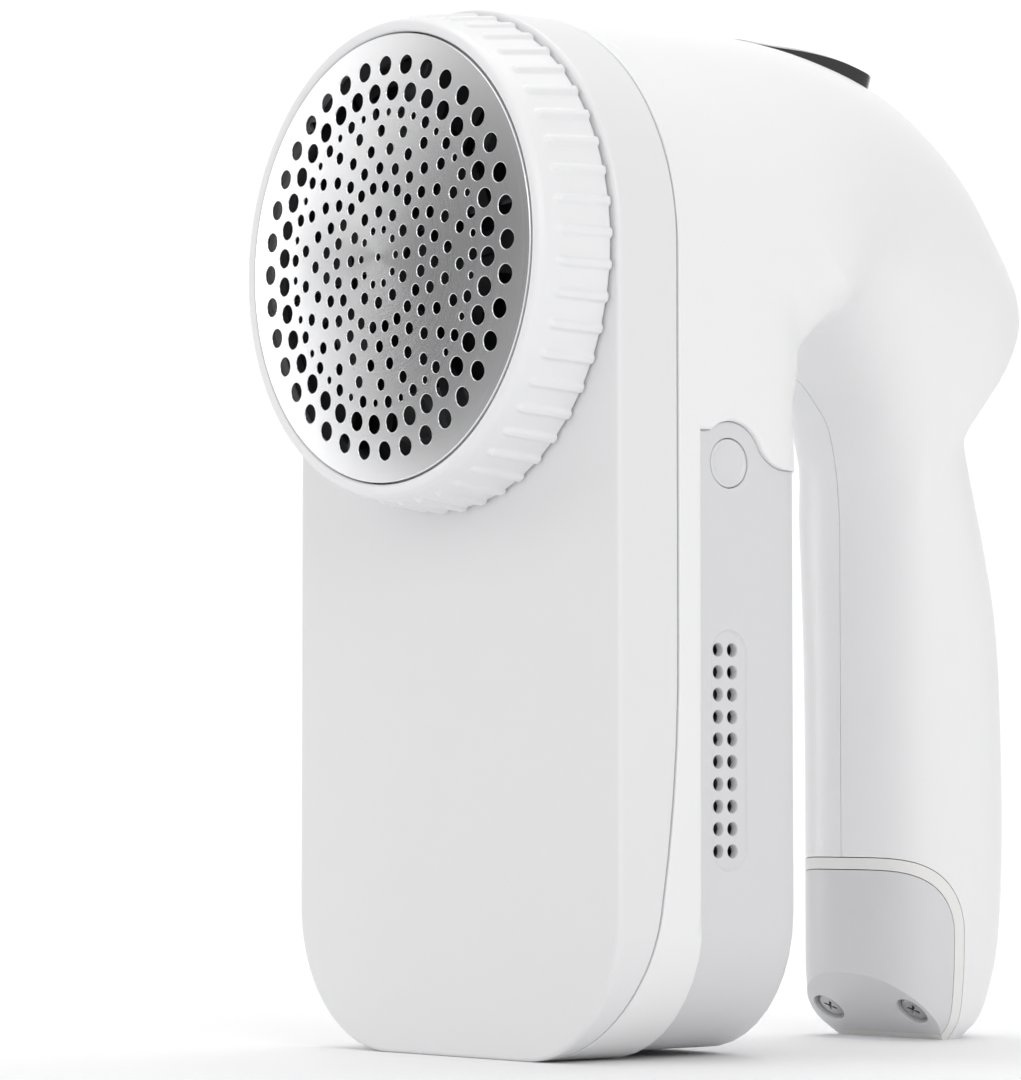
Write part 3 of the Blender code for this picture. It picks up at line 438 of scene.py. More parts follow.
def rounded_rectangle(low, high, radius, steps):
    """Outline of a rectangle between two corners, with its own corners rounded."""
    corners = [low, (high[0], low[1]), high, (low[0], high[1])]
    found = []
    for i, corner in enumerate(corners):
        here = Vector(corner)
        back = Vector(corners[i - 1]) - here
        ahead = Vector(corners[(i + 1) % 4]) - here
        reach = min(radius, 0.45 * back.length, 0.45 * ahead.length)
        start = here + back.normalized() * reach
        end = here + ahead.normalized() * reach
        for k in range(steps + 1):
            s = k / steps
            spot = start * (1 - s) ** 2 + here * 2 * s * (1 - s) + end * s * s
            found.append(tuple(spot))
    return found


# ---- the rear housings


def arch_rib(angle, inset):
    """A rib that starts on the arched parting line, so that the skin runs on straight from it."""
    turn = math.radians(angle)
    deep, low, after = between(ARCH_INNER, angle)
    radius = BODY_HALF - inset
    height = HEAD_HEIGHT + radius * math.sin(turn)
    end = Vector((deep - SPLIT_DEPTH, low - height))
    end = Vector((deep, low)) - end.normalized() * inset
    where = max((height - HEAD_HEIGHT) / (height - end.y), 0.52)
    start = SPLIT_DEPTH - FORWARD - inset
    return (radius * math.cos(turn), start, height, end.x, end.y, radius, where, after)


def leg_rib(height, inset):
    """Rib of the body below the handle's arch: a level section."""
    side = half_width(height, inset)
    front = split(height) - FORWARD - inset
    return (side, front, height, BODY_BACK - inset, height, side, 0.55, BACK_ROUNDNESS)


def moved_rib(rib, inset):
    """A rib of the table, inset from the skin by the wall's thickness."""
    x0, d0, h0, d1, h1, widest, where, after = rib
    along = Vector((d1 - d0, h1 - h0)).normalized() * inset
    if x0 > 0.0:
        start = (d0 - GAP - FORWARD - inset, h0)
    else:
        start = (d0 + along.x, h0 + along.y)
    x0 = max(x0 - inset, 0.0)
    return (x0, *start, d1 - along.x, h1 - along.y, widest - inset, where, after)


def section(rib, steps_before, steps_after):
    """Points (X, depth, height) of one rib, from its outer point to the inner middle line."""
    x0, d0, h0, d1, h1, widest, where, after = rib
    first = math.asin(min(max(x0, 0.0) / widest, 1.0))
    first = min(first, math.radians(89.0))
    full = math.cos(first)
    places = []
    for i in range(steps_before):
        angle = first + (0.5 * math.pi - first) * i / steps_before
        x = max(widest * math.sin(angle), x0)
        places.append((where * (1.0 - math.cos(angle) / full), x))
    for i in range(steps_after + 1):
        angle = 0.5 * math.pi * i / steps_after
        share = where + (1.0 - where) * max(math.sin(angle), 0.0) ** (2.0 / after)
        places.append((share, widest * max(math.cos(angle), 0.0) ** (2.0 / after)))
    return [(x, d0 + (d1 - d0) * s, h0 + (h1 - h0) * s) for s, x in places]


def all_ribs(inset):
    ribs = [moved_rib(rib, inset) for rib in LOFT_RIBS[:2]]
    ribs += [arch_rib(angle, inset) for angle in ARCH_ANGLES]
    last = len(LOFT_RIBS) if inset == 0.0 else len(LOFT_RIBS) - 1
    return ribs + [moved_rib(rib, inset) for rib in LOFT_RIBS[2:last]]


def keyed_ribs(ribs, extra=0.0):
    """The ribs, each with its place along the loft before its values."""
    place = 0.0
    keyed = [(place, *ribs[0])]
    for first, second in zip(ribs, ribs[1:]):
        outer = math.dist(first[:3], second[:3])
        inner = math.dist(first[3:5], second[3:5])
        place = place + 0.5 * (outer + inner) + extra
        keyed.append((place, *second))
    return keyed


def housing_rows(inset, per, before, after):
    """Rows of points over one half of the rear housing, closed flat at both ends."""
    heights = corner_heights(inset) + [26.0, 34.0, 42.0, 50.0, 57.0]
    fine = [leg_rib(height, inset) for height in heights]
    ribs = all_ribs(inset)
    keyed = keyed_ribs(ribs, 1.0)
    last = len(keyed) - 1
    corner = 1 + len(ARCH_ANGLES)  # where the parting line meets the crown
    for i in range(last):
        rows = neighbours(keyed, i)
        low, high = (0, corner) if i < corner else (corner, last)
        edge_rows = neighbours(keyed, i, low, high)
        width = keyed[i + 1][0] - keyed[i][0]
        count = max(int(math.ceil(width / per)), 2)
        for k in range(count):
            place = keyed[i][0] + width * k / count
            fine.append(tuple(cubic(edge_rows, place)[1:4] + cubic(rows, place)[4:]))
    fine.append(ribs[-1])
    return [section(rib, before, after) for rib in fine]


def half_solid(name, side, inset, per, before, after):
    """One half of the rear housing's form as a closed solid, cut flat on the middle plane."""
    seam = SEAM if inset == 0.0 else -1.0
    widest = BODY_HALF - inset
    loops = []
    for row in housing_rows(inset, per, before, after):
        loop = [at(side * (min(x, widest) if x > SEAM else seam), d, h) for x, d, h in row]
        for _, depth, height in (row[-1], row[0]):
            loop.append(at(side * seam, depth, height))
        loops.append(loop)
    return loft(name, loops)


def parting_cutter():
    """What lies in front of the parting line, with a rounded rim along it."""
    lip = 0.25
    levels = [(12.0, 0.0), (lip, 0.0), (lip * 0.62, lip * 0.08), (lip * 0.29, lip * 0.29)]
    levels += [(lip * 0.08, lip * 0.62), (0.0, lip), (-0.6, lip * 3.0), (-6.0, lip * 3.0)]
    loops = [split_ring(inset, GAP + back) for inset, back in levels]
    loops += [flat_ring(inset, -20.0) for inset in (-6.0, 12.0)]
    return loft("parting", loops, closed=True)


def shell(name, side):
    """One clamshell half: the outer form less the inner one, trimmed at the parting line."""
    half = half_solid(name, side, 0.0, 2.2, 22, 18)
    inner = half_solid("inner", side, WALL, 5.0, 12, 10)
    return cut(half, [inner, parting_cutter()])


def bin_space():
    """Space for the bin, whose mouth opens with a rounded edge on both sides."""
    edge = 0.5
    right = [(BODY_HALF - edge + edge * rise, edge * fall) for fall, rise in quarter(4)]
    right.append((BEYOND, edge))
    return side_cutter("bin_space", lambda grow: bin_outline(BIN_GAP + grow), both_sides(right))


def make_rear_housings():
    for side, label in ((-1, "left"), (1, "right")):
        half = shell(f"housing_{label}", side)
        end_space = across("end_space", cover_outline(-0.12), -30, 30)
        cut(half, [bin_space(), end_space, switch_recess(), socket_port()])
        smoothed(half)
        finish_piece(half, "housing", f"rear_housing_{label}", SHELL)


def socket_port():
    """Hole for the charging plug in the handle's end."""
    x, d = PORT_HALF
    plan = rounded_rectangle((-x, -d), (x, d), 1.8, 6)
    outline = [(x, PORT_DEPTH + d) for x, d in plan]
    return extruded("port", outline, lambda x, d: (at(x, d, -5.0), at(x, d, 5.0)))


def switch_plan(grow):
    """Plan of the thumb slide's opening as (X, depth), grown by a margin."""
    half = SWITCH_HALF + SWITCH_GAP + grow
    end = SWITCH_TO + SWITCH_GAP + grow
    return rounded_rectangle((-half, SLOT_FROM - grow), (half, end), 2.6, 8)


def crown_height(depth):
    return CROWN_HEIGHT + math.sqrt(CROWN_RADIUS**2 - (depth - CROWN_DEPTH) ** 2)


def switch_recess():
    """The thumb slide's opening, with a rounded edge that follows the crown."""
    levels = [(-9.0, 0.0), (-0.55, 0.0), (-0.3, 0.06), (-0.12, 0.2), (0.05, 0.45), (3.0, 0.5)]
    loops = []
    for lift, grow in levels:
        plan = switch_plan(grow)
        loops.append([at(x, d, crown_height(d) + lift - crown_drop(x)) for x, d in plan])
    return loft("switch_recess", loops)


# ---- the front housing


def body_outline(inset):
    """Front outline of the body as (X, height): arched top and rounded bottom corners."""
    radius = BODY_HALF - inset
    corner = CORNER - inset
    across_corner = BODY_HALF - CORNER
    outline = arc((0.0, HEAD_HEIGHT), radius, 0, 180, 96)
    for k in range(1, 12):
        outline.append((-radius, HEAD_HEIGHT + (CORNER - HEAD_HEIGHT) * k / 12))
    outline += arc((-across_corner, CORNER), corner, 180, 270, 20)
    outline += [(-across_corner + 2 * across_corner * k / 4, inset) for k in range(1, 4)]
    outline += arc((across_corner, CORNER), corner, 270, 360, 20)
    for k in range(1, 12):
        outline.append((radius, CORNER + (HEAD_HEIGHT - CORNER) * k / 12))
    return outline


def flat_ring(inset, depth):
    """The body's front outline at one depth."""
    return [at(x, depth, h) for x, h in body_outline(inset)]


def split_ring(inset, back):
    """The body's front outline at a distance behind the parting line."""
    return [at(x, split(h) + back, h) for x, h in body_outline(inset)]


def make_front_housing():
    """Flat-faced tray with a rounded front rim and a rounded edge at the parting line."""
    rim = 0.55
    lip = 0.22
    turns = [math.atan2(h - HEAD_HEIGHT, x) for x, h in body_outline(0.0)]
    loops = [[head_point(HEAD_HOLE, turn, depth) for turn in turns] for depth in (WALL, 0.0)]
    loops.append(flat_ring(rim + 0.05, 0.0))
    loops += [flat_ring(rim * (1.0 - rise), rim * fall) for fall, rise in quarter(5)]
    loops.append(flat_ring(0.0, rim + 0.1))
    loops.append(split_ring(0.0, -lip - 0.04))
    loops += [split_ring(lip * fall, -lip * (1.0 - rise)) for fall, rise in quarter(3)]
    loops += [split_ring(WALL, 0.0), flat_ring(WALL, WALL)]
    tray = loft("face_housing", loops, closed=True)
    finish_piece(tray, "housing", "front_housing", FRONT)


# ---- the cutting head


def rib_height(share, depth):
    """How far the knurl stands out at a share of one pitch and a depth."""
    away = abs(share - 0.5) * math.tau * 30.6 / RIB_COUNT
    side = 1.0 - smooth(0.30, 0.78, away)
    front = smooth(-8.25, -7.35, depth - 0.55 * (away / 0.78) ** 2)
    return RIB_HEIGHT * side * front


def make_foil_ring():
    """Locking ring: a rounded lip round the foil, a soft waist and a flared band of ribs."""
    inner = [(RING_BORE, -0.3), (RING_BORE, -7.9), (29.15, -7.9), (29.15, -9.1)]
    inner += [(FOIL_RADIUS + 0.2, -9.1), (FOIL_RADIUS + 0.2, -10.05)]
    lip = []
    for k in range(9):
        angle = math.radians(180.0 - 22.0 * k)
        lip.append((28.78 + 0.73 * math.cos(angle), -10.0 - 0.5 * math.sin(angle)))
    waist = [(29.62, -9.85), (29.72, -9.6), (29.78, -9.3), (29.80, -9.0)]
    waist += [(29.83, -8.7), (29.88, -8.45)]
    depths = [-8.25 + k / 10 for k in range(10)] + [-7.25 + 1.6375 * k for k in range(5)]
    knurl = [(29.92 + (deep + 8.25) * 0.128, deep) for deep in depths]
    loops = []
    for pitch in range(RIB_COUNT):
        for share in RIB_SHARES:
            turn = math.tau * (pitch + share - 0.27) / RIB_COUNT
            profile = inner + lip + waist
            profile += [(radius + rib_height(share, d), d) for radius, d in knurl]
            end = knurl[-1][0] + rib_height(share, 0.0)
            profile += [(end - 0.03, -0.52), (end - 0.12, -0.38), (end - 0.28, -0.3)]
            loops.append([head_point(radius, turn, depth) for radius, depth in profile])
    made = loft("knurled_ring", loops, closed=True, sharp=50.0)
    finish_piece(made, "head_ring", "foil_ring", RING)


def foil_sheet(bevel):
    """Flat plan of the foil: points, faces, holes as (centre, radius, indices), and the rim."""
    plan = []

    def circle(x0, y0, radius, sides):
        first = len(plan)
        for k in range(sides):
            turn = math.tau * k / sides
            plan.append(Vector((x0 + radius * math.cos(turn), y0 + radius * math.sin(turn))))
        return list(range(first, len(plan)))

    holes = [((0.0, 0.0), 0.475, circle(0.0, 0.0, 0.475 + bevel, 20))]
    for radius, count, sizes, turn in FOIL_RINGS:
        for k in range(count):
            middle = math.tau * (k + turn) / count
            size = 0.5 * sizes[k % len(sizes)]
            spot = (radius * math.cos(middle), radius * math.sin(middle))
            holes.append((spot, size, circle(*spot, size + bevel, 32 if size > 1.0 else 22)))
    circle(0.0, 0.0, 26.4, 140)
    rim = circle(0.0, 0.0, FOIL_RADIUS - 0.12, 180)
    owner = {index: number for number, hole in enumerate(holes) for index in hole[2]}
    edges = []
    for loop in [hole[2] for hole in holes] + [rim]:
        edges += [(loop[k - 1], loop[k]) for k in range(len(loop))]
    _, _, found, given, _, _ = delaunay_2d_cdt(plan, edges, [], 0, 1e-6)
    faces = []
    for face in found:
        face = [given[index][0] for index in face]
        owners = {owner.get(index, -1 - index) for index in face}
        if len(owners) > 1:
            faces.append(face)
    return plan, faces, holes, rim


def make_foil():
    """Domed foil with round holes whose edges are rolled in, a rolled rim, a skirt and a flange."""
    bevel = 0.09
    plan, sheet, holes, rim = foil_sheet(bevel)
    points = []
    for offset in (0.0, FOIL_THICKNESS):
        for x, y in plan:
            points.append(at(x, dome(math.hypot(x, y)) + offset, HEAD_HEIGHT + y))
    shift = len(plan)
    faces = list(sheet)
    faces += [[shift + k for k in reversed(face)] for face in sheet]
    top = len(faces) // 2
    for (x0, y0), size, hole in holes:
        loops = [hole]
        for grow, deep in ((0.03, 0.025), (0.0, 0.08)):
            loop = []
            for index in hole:
                dx = plan[index][0] - x0
                dy = plan[index][1] - y0
                scale = (size + grow) / math.hypot(dx, dy)
                x = x0 + dx * scale
                y = y0 + dy * scale
                points.append(at(x, dome(math.hypot(x, y)) + deep, HEAD_HEIGHT + y))
                loop.append(len(points) - 1)
            loops.append(loop)
        loops.append([shift + index for index in hole])
        for first, second in zip(loops, loops[1:]):
            faces += band(first, second)
    inner = FOIL_RADIUS - FOIL_THICKNESS
    flange_front = FOIL_SKIRT_DEPTH - FOIL_THICKNESS
    skirt = [(FOIL_RADIUS - 0.035, FOIL_RIM_DEPTH + 0.03), (FOIL_RADIUS, FOIL_RIM_DEPTH + 0.12)]
    skirt += [(FOIL_RADIUS, flange_front), (FOIL_FLANGE, flange_front)]
    skirt += [(FOIL_FLANGE, FOIL_SKIRT_DEPTH), (inner, FOIL_SKIRT_DEPTH)]
    skirt.append((inner, FOIL_RIM_DEPTH + FOIL_THICKNESS))
    start = len(points)
    count = len(rim)
    for radius, depth in skirt:
        points += [head_point(radius, math.tau * k / count, depth) for k in range(count)]
    loops = [rim] + [[start + row * count + k for k in range(count)] for row in range(len(skirt))]
    loops.append([shift + index for index in rim])
    for first, second in zip(loops, loops[1:]):
        faces += band(first, second)
    mesh = bpy.data.meshes.new("perforated_foil")
    mesh.from_pydata(points, [], faces)
    mesh.shade_smooth()
    set_dome_normals(mesh, top)
    made = linked("perforated_foil", mesh)
    finish_piece(made, "head_ring", "shaver_foil", FOIL)


def set_dome_normals(mesh, top):
    """Exact normals over the dome, so that its reflections stay clean between the holes."""
    shape = bmesh.new()
    shape.from_mesh(mesh)
    bmesh.ops.recalc_face_normals(shape, faces=shape.faces)
    shape.faces.ensure_lookup_table()
    normals = []
    for face in shape.faces:
        for loop in face.loops:
            if face.index < top:
                offset = loop.vert.co - HEAD
                slope = 2.0 * FOIL_DOME / FOIL_RADIUS**2 / MM
                normal = Vector((offset.x * slope, -1.0, offset.z * slope)).normalized()
                if normal.dot(face.normal) < 0.0:
                    normal = -normal
            elif face.index < 2 * top:
                normal = face.normal.copy()
            else:
                normal = loop.vert.normal.lerp(face.normal, 0.6).normalized()
            normals.append(normal)
    shape.to_mesh(mesh)
    shape.free()
    mesh.normals_split_custom_set(normals)


# ---- thumb switch


def make_switch():
    """Gloss black slide: a thin lens that wedges up to a blunt rear edge."""
    steps = 40
    columns = 24
    length = SWITCH_TO - SWITCH_FROM
    loops = []
    for i in range(steps + 1):
        share = i / steps
        depth = SWITCH_FROM + length * share
        near = min(share, 1.0 - share) * length
        squeeze = 0.0
        if near < SWITCH_CORNER:
            left = SWITCH_CORNER**2 - (SWITCH_CORNER - near) ** 2
            squeeze = SWITCH_CORNER - math.sqrt(max(left, 0.0))
        half = SWITCH_HALF - squeeze
        roll = 0.5 * max(0.0, 1.0 - near / 0.5) ** 2
        angle = math.acos((depth - CROWN_DEPTH) / CROWN_RADIUS)
        rise = between(SWITCH_RISE, share)[0] - roll
        profile = [(-half, -2.0), (half, -2.0)]
        for k in range(columns + 1):
            x = half * math.sin(0.5 * math.pi * (1.0 - 2.0 * k / columns))
            edge = 0.45 * abs(x / half) ** 6
            profile.append((x, 0.05 + rise - crown_drop(x) - edge))
        loop = []
        for x, lift in profile:
            radius = CROWN_RADIUS + lift
            deep = CROWN_DEPTH + radius * math.cos(angle)
            loop.append(at(x, deep, CROWN_HEIGHT + radius * math.sin(angle)))
        loops.append(loop)
    slide = loft("slide_button", loops, sharp=50.0)
    plan = ((-1.5, 53.5), (1.5, 53.5), (1.5, 56.5), (-1.5, 56.5))
    stem = loft("stem", [[at(x, d, h) for x, d in plan] for h in (121.2, 129.0)])
    cut(slide, [stem], "UNION")
    smoothed(slide, sharp=50.0)
    finish_piece(slide, "switch", "thumb_switch", GLOSS_BLACK)


# ---- lint bin and its buttons


def leg_solid(name, inset, front, back, high):
    """The body's lower rear, inset on its sides, as a solid up to a height."""
    deep = back - front
    loops = []
    for height in corner_heights(inset) + [high]:
        side = half_width(height, inset)
        half = [(side, front)]
        for i in range(29):
            angle = 0.5 * math.pi * i / 28
            share = 0.5 + 0.5 * math.sin(angle) ** (2.0 / BACK_ROUNDNESS)
            x = side * max(math.cos(angle), 0.0) ** (2.0 / BACK_ROUNDNESS)
            half.append((x, front + deep * share))
        loop = half + [(-x, depth) for x, depth in reversed(half[:-1])]
        loops.append([at(x, depth, height) for x, depth in loop])
    return loft(name, loops)


def dip_outline(grow):
    """Side outline of the dip round the vents as (depth, height), grown by a margin."""
    front, back = DIP_DEPTHS
    low = VENT_TOP - VENT_PITCH * (VENT_ROWS - 1) - DIP_END
    high = VENT_TOP + DIP_END
    end = (back - front) / 2
    middle = (front + back) / 2
    top = arc((middle, high - end), end + grow, 0, 180, 20)
    return top + arc((middle, low + end), end + grow, 180, 360, 20)


def vent_cutters(side, floor):
    """The vents of one side, with a small rounded edge each."""
    rim = VENT_RADIUS + 0.16
    profile = [(0.0, -5.0), (VENT_RADIUS, -5.0), (VENT_RADIUS, -0.16), (VENT_RADIUS + 0.05, -0.05)]
    profile += [(rim, 0.02), (rim, 5.0), (0.0, 5.0)]
    vents = []
    for row in range(VENT_ROWS):
        for depth in VENT_DEPTHS:
            centre = at(side * floor, depth, VENT_TOP - VENT_PITCH * row)
            vents.append(turned("vent", profile, centre, (side, 0, 0), 20))
    return joined("vents", vents)


def make_bin():
    """Lint bin with soft-edged side panels, each with a dip, vents and a button's hole."""
    back = BODY_BACK - 0.3
    front = BIN_FRONT + BIN_GAP
    lint_bin = leg_solid("lint_box", BIN_INSET, front, back, 80.0)
    outer = BODY_HALF - BIN_INSET
    edge = 0.1
    right = [(outer - edge + edge * rise, -BIN_GAP - edge * fall) for fall, rise in quarter(4)]
    right.append((BEYOND, -BIN_GAP - edge))
    cut(lint_bin, [side_cutter("side_shape", bin_outline, both_sides(right))], "INTERSECT")
    inset = BIN_INSET + BIN_WALL
    cutters = [leg_solid("hollow", inset, front + BIN_FRONT_WALL, back - BIN_WALL, 90.0)]
    floor = outer - 0.42
    dip = [(floor, -0.55), (outer - 0.40, -0.3), (outer - 0.3, -0.1), (outer - 0.12, 0.0)]
    dip += [(outer - 0.03, 0.08), (outer + 0.02, 0.2), (outer + 8, 0.2)]
    r = BUTTON_RADIUS
    hole = [(0.0, -6.0), (r + 0.08, -6.0), (r + 0.08, -0.2), (r + 0.13, -0.07)]
    hole += [(r + 0.28, 0.01), (r + 0.28, 4.0), (0.0, 4.0)]
    for side in (-1, 1):
        levels = [(side * x, grow) for x, grow in dip]
        cutters += [side_cutter("dip", dip_outline, levels), vent_cutters(side, floor)]
        centre = at(side * outer, BUTTON_DEPTH, BUTTON_HEIGHT)
        cutters.append(turned("button_hole", hole, centre, (side, 0, 0), 64))
    cut(lint_bin, cutters)
    smoothed(lint_bin)
    finish_piece(lint_bin, "bin", "lint_bin", BIN)


def make_buttons():
    """Round release buttons, each with a shallow dish and a flange that keeps it in the bin."""
    outer = BODY_HALF - BIN_INSET
    r = BUTTON_RADIUS
    face = [(0.0, -0.42), (1.2, -0.40), (1.9, -0.35), (2.3, -0.27), (2.45, -0.2), (2.55, -0.13)]
    face += [(2.65, -0.09), (2.78, -0.08), (2.9, -0.11), (2.97, -0.2), (r, -0.32)]
    profile = face + [(r, -1.9), (r + 0.7, -1.9), (r + 0.7, -2.9), (0.0, -2.9)]
    profile = [(radius, outer + far) for radius, far in profile]
    for label, side in (("left", -1), ("right", 1)):
        centre = at(0.0, BUTTON_DEPTH, BUTTON_HEIGHT)
        button = turned(f"press_button_{label}", profile, centre, (side, 0, 0), 64)
        node = f"release_button_{label}"
        finish_piece(button, f"button_{label}", node, BUTTON)


# ---- end of the handle


def handle_end(name):
    """The handle's lower end as one solid."""
    ribs = LOFT_RIBS[-7:]
    keyed = keyed_ribs(ribs)
    halves = []
    for i in range(len(keyed) - 1):
        rows = neighbours(keyed, i)
        width = keyed[i + 1][0] - keyed[i][0]
        for k in range(6):
            halves.append(section(cubic(rows, keyed[i][0] + width * k / 6)[1:], 20, 20))
    halves.append(section(ribs[-1], 20, 20))
    loops = []
    for half in halves:
        other = [(-x, d, h) for x, d, h in reversed(half[1:-1])]
        loops.append([at(*point) for point in half + other])
    return loft(name, loops)


def end_hollow():
    """Space inside the handle's end, behind its chamfer."""
    outline = []
    for i in range(48):
        angle = math.tau * i / 48
        x = math.copysign(abs(math.cos(angle)) ** 0.8, math.cos(angle)) * 10.8
        deep = math.copysign(abs(math.sin(angle)) ** 0.8, math.sin(angle)) * 9.7
        outline.append((x, 78.3 + deep))
    hollow = extruded("end_hollow", outline, lambda x, d: (at(x, d, 1.0), at(x, d, 40.0)))
    inner = CHAMFER + WALL * math.sqrt(2.0)
    floor = WALL + 0.2
    side = [(60.0, 45.0), (60.0, inner - 60.0), (inner - floor, floor), (95.0, floor), (95.0, 45.0)]
    return cut(hollow, [across("hollow_side", side, -30, 30)], "INTERSECT")


def end_piece(name, outer_margin, inner_margin=None):
    """A piece of the handle's end wall inside one side outline and outside another."""
    piece = handle_end(name)
    cut(piece, [across("region", cover_outline(outer_margin), -30, 30)], "INTERSECT")
    cutters = []
    if inner_margin is not None:
        cutters.append(across("inside", cover_outline(inner_margin), -30, 30))
    chamfer = [(60.0, CHAMFER - 60.0), (60.0, -5.0), (CHAMFER + 5.0, -5.0)]
    cutters.append(across("chamfer", chamfer, -30, 30))
    cutters.append(end_hollow())
    return cut(piece, cutters)


def make_handle_end():
    """End cover, the pale seal round it, and two screws in round recesses of its chamfer."""
    cover = end_piece("tail_cover", SEAL_WIDTH + 0.12)
    seal = end_piece("tail_seal", 0.0, SEAL_WIDTH)
    out = Vector((0.0, -1.0, -1.0)).normalized()
    recess = [(0.0, -4.0), (1.1, -4.0), (1.1, -1.2), (2.3, -1.2), (2.3, -0.2), (2.36, -0.08)]
    recess += [(2.5, 0.02), (2.5, 3.0), (0.0, 3.0)]
    head = [(0.0, -3.6), (0.8, -3.6), (0.8, -1.1), (1.9, -1.1), (1.9, -0.62), (1.75, -0.47)]
    head += [(1.5, -0.4), (0.0, -0.4)]
    recesses = []
    for number, x in enumerate((-SCREW_X, SCREW_X), 1):
        centre = at(x, SCREW_DEPTH, CHAMFER - SCREW_DEPTH)
        recesses.append(turned("recess", recess, centre, out, 40))
        screw = turned(f"tail_screw_{number}", head, centre, out, 32)
        turns = (SCREW_TURN, SCREW_TURN + math.pi / 2)
        cut(screw, [cross_slot(centre, out, turn) for turn in turns])
        smoothed(screw)
        finish_piece(screw, "housing", f"end_screw_{number}", SCREW)
    cut(cover, [joined("recesses", recesses)])
    smoothed(cover)
    smoothed(seal)
    finish_piece(cover, "housing", "end_cover", COVER)
    finish_piece(seal, "housing", "end_seal", SEAL)


def cross_slot(centre, out, turn):
    """One arm of a screw's cross recess."""
    side = out.orthogonal().normalized()
    other = out.cross(side)
    along = side * math.cos(turn) + other * math.sin(turn)
    wide = out.cross(along)
    loops = []
    for far, reach, half in ((-1.0, 0.55, 0.16), (-0.2, 1.15, 0.2)):
        loop = []
        for a, b in ((-1, -1), (1, -1), (1, 1), (-1, 1)):
            loop.append(centre + (along * a * reach + wide * b * half + out * far) * MM)
        loops.append(loop)
    return loft("cross_slot", loops)


# ---- materials


def node_material(name, colour, roughness, metallic=0.0):
    made = bpy.data.materials.new(name)
    made.use_nodes = True
    shader = made.node_tree.nodes["Principled BSDF"]
    set_inputs(shader, Base_Color=(*colour, 1.0), Roughness=roughness, Metallic=metallic)
    made.diffuse_color = (*colour, 1.0)
    return made, made.node_tree, shader


def set_inputs(node, **inputs):
    for key, value in inputs.items():
        node.inputs[key.replace("_", " ")].default_value = value


def add_node(tree, kind, **inputs):
    node = tree.nodes.new(kind)
    set_inputs(node, **inputs)
    return node


def noise(tree, scale, detail=3.0, stretch=(1.0, 1.0, 1.0)):
    """Noise in object coordinates, which are metres: scale is in waves per metre."""
    place = tree.nodes.new("ShaderNodeTexCoord")
    mapping = add_node(tree, "ShaderNodeMapping", Scale=stretch)
    tree.links.new(place.outputs["Object"], mapping.inputs["Vector"])
    made = add_node(tree, "ShaderNodeTexNoise", Scale=scale, Detail=detail)
    tree.links.new(mapping.outputs["Vector"], made.inputs["Vector"])
    return made.outputs["Fac"]


def ranged(tree, value, low, high):
    """The usual span of a noise, spread over a range."""
    span = {"From_Min": 0.2, "From_Max": 0.8, "To_Min": low, "To_Max": high}
    made = add_node(tree, "ShaderNodeMapRange", **span)
    tree.links.new(value, made.inputs["Value"])
    return made.outputs["Result"]


def mixed(tree, share, first, second):
    made = tree.nodes.new("ShaderNodeMix")
    made.data_type = "RGBA"
    made.inputs["A"].default_value = (*first, 1.0)
    made.inputs["B"].default_value = (*second, 1.0)
    tree.links.new(share, made.inputs["Factor"])
    return made.outputs["Result"]


def varied_colour(tree, shader, value, first, second):
    """The shader's colour, between two by a noise."""
    colour = mixed(tree, ranged(tree, value, 0.0, 1.0), first, second)
    tree.links.new(colour, shader.inputs["Base Color"])


def vector_math(tree, operation, value, other=(0.0, 0.0, 0.0)):
    made = tree.nodes.new("ShaderNodeVectorMath")
    made.operation = operation
    made.inputs[1].default_value = other
    tree.links.new(value, made.inputs[0])
    return made.outputs["Value" if operation in ("LENGTH", "DOT_PRODUCT") else "Vector"]


def bump(tree, shader, value, distance):
    made = add_node(tree, "ShaderNodeBump", Strength=1.0, Distance=distance)
    tree.links.new(value, made.inputs["Height"])
    tree.links.new(made.outputs["Normal"], shader.inputs["Normal"])


def plastic(name, colour, roughness, grain=0.3, coat=0.0, shade=0.99):
    """Moulded plastic: fine spark-eroded grain, faint flow marks in its gloss and its tint."""
    made, tree, shader = node_material(name, colour, roughness)
    set_inputs(shader, IOR=1.5, Coat_Weight=coat, Coat_Roughness=0.12)
    flow = noise(tree, 28.0, 2.0, stretch=(1.0, 1.0, 0.35))
    dark = tuple(channel * shade for channel in colour)
    varied_colour(tree, shader, flow, dark, colour)
    rough = ranged(tree, noise(tree, 90.0, 4.0), roughness - 0.02, roughness + 0.02)
    tree.links.new(rough, shader.inputs["Roughness"])
    bump(tree, shader, noise(tree, 3600.0, 2.0), grain * 1e-6)
    return made


def metal(name, colour, roughness, stretch=(1.0, 1.0, 1.0), scale=2500.0):
    """Ground or plated metal: streaks in its polish and a little unevenness of colour."""
    made, tree, shader = node_material(name, colour, roughness, 1.0)
    streak = noise(tree, scale, 3.0, stretch=stretch)
    dark = tuple(channel * 0.9 for channel in colour)
    varied_colour(tree, shader, noise(tree, 300.0), dark, colour)
    rough = ranged(tree, streak, roughness - 0.05, roughness + 0.08)
    tree.links.new(rough, shader.inputs["Roughness"])
    bump(tree, shader, streak, 1e-6)
    return made


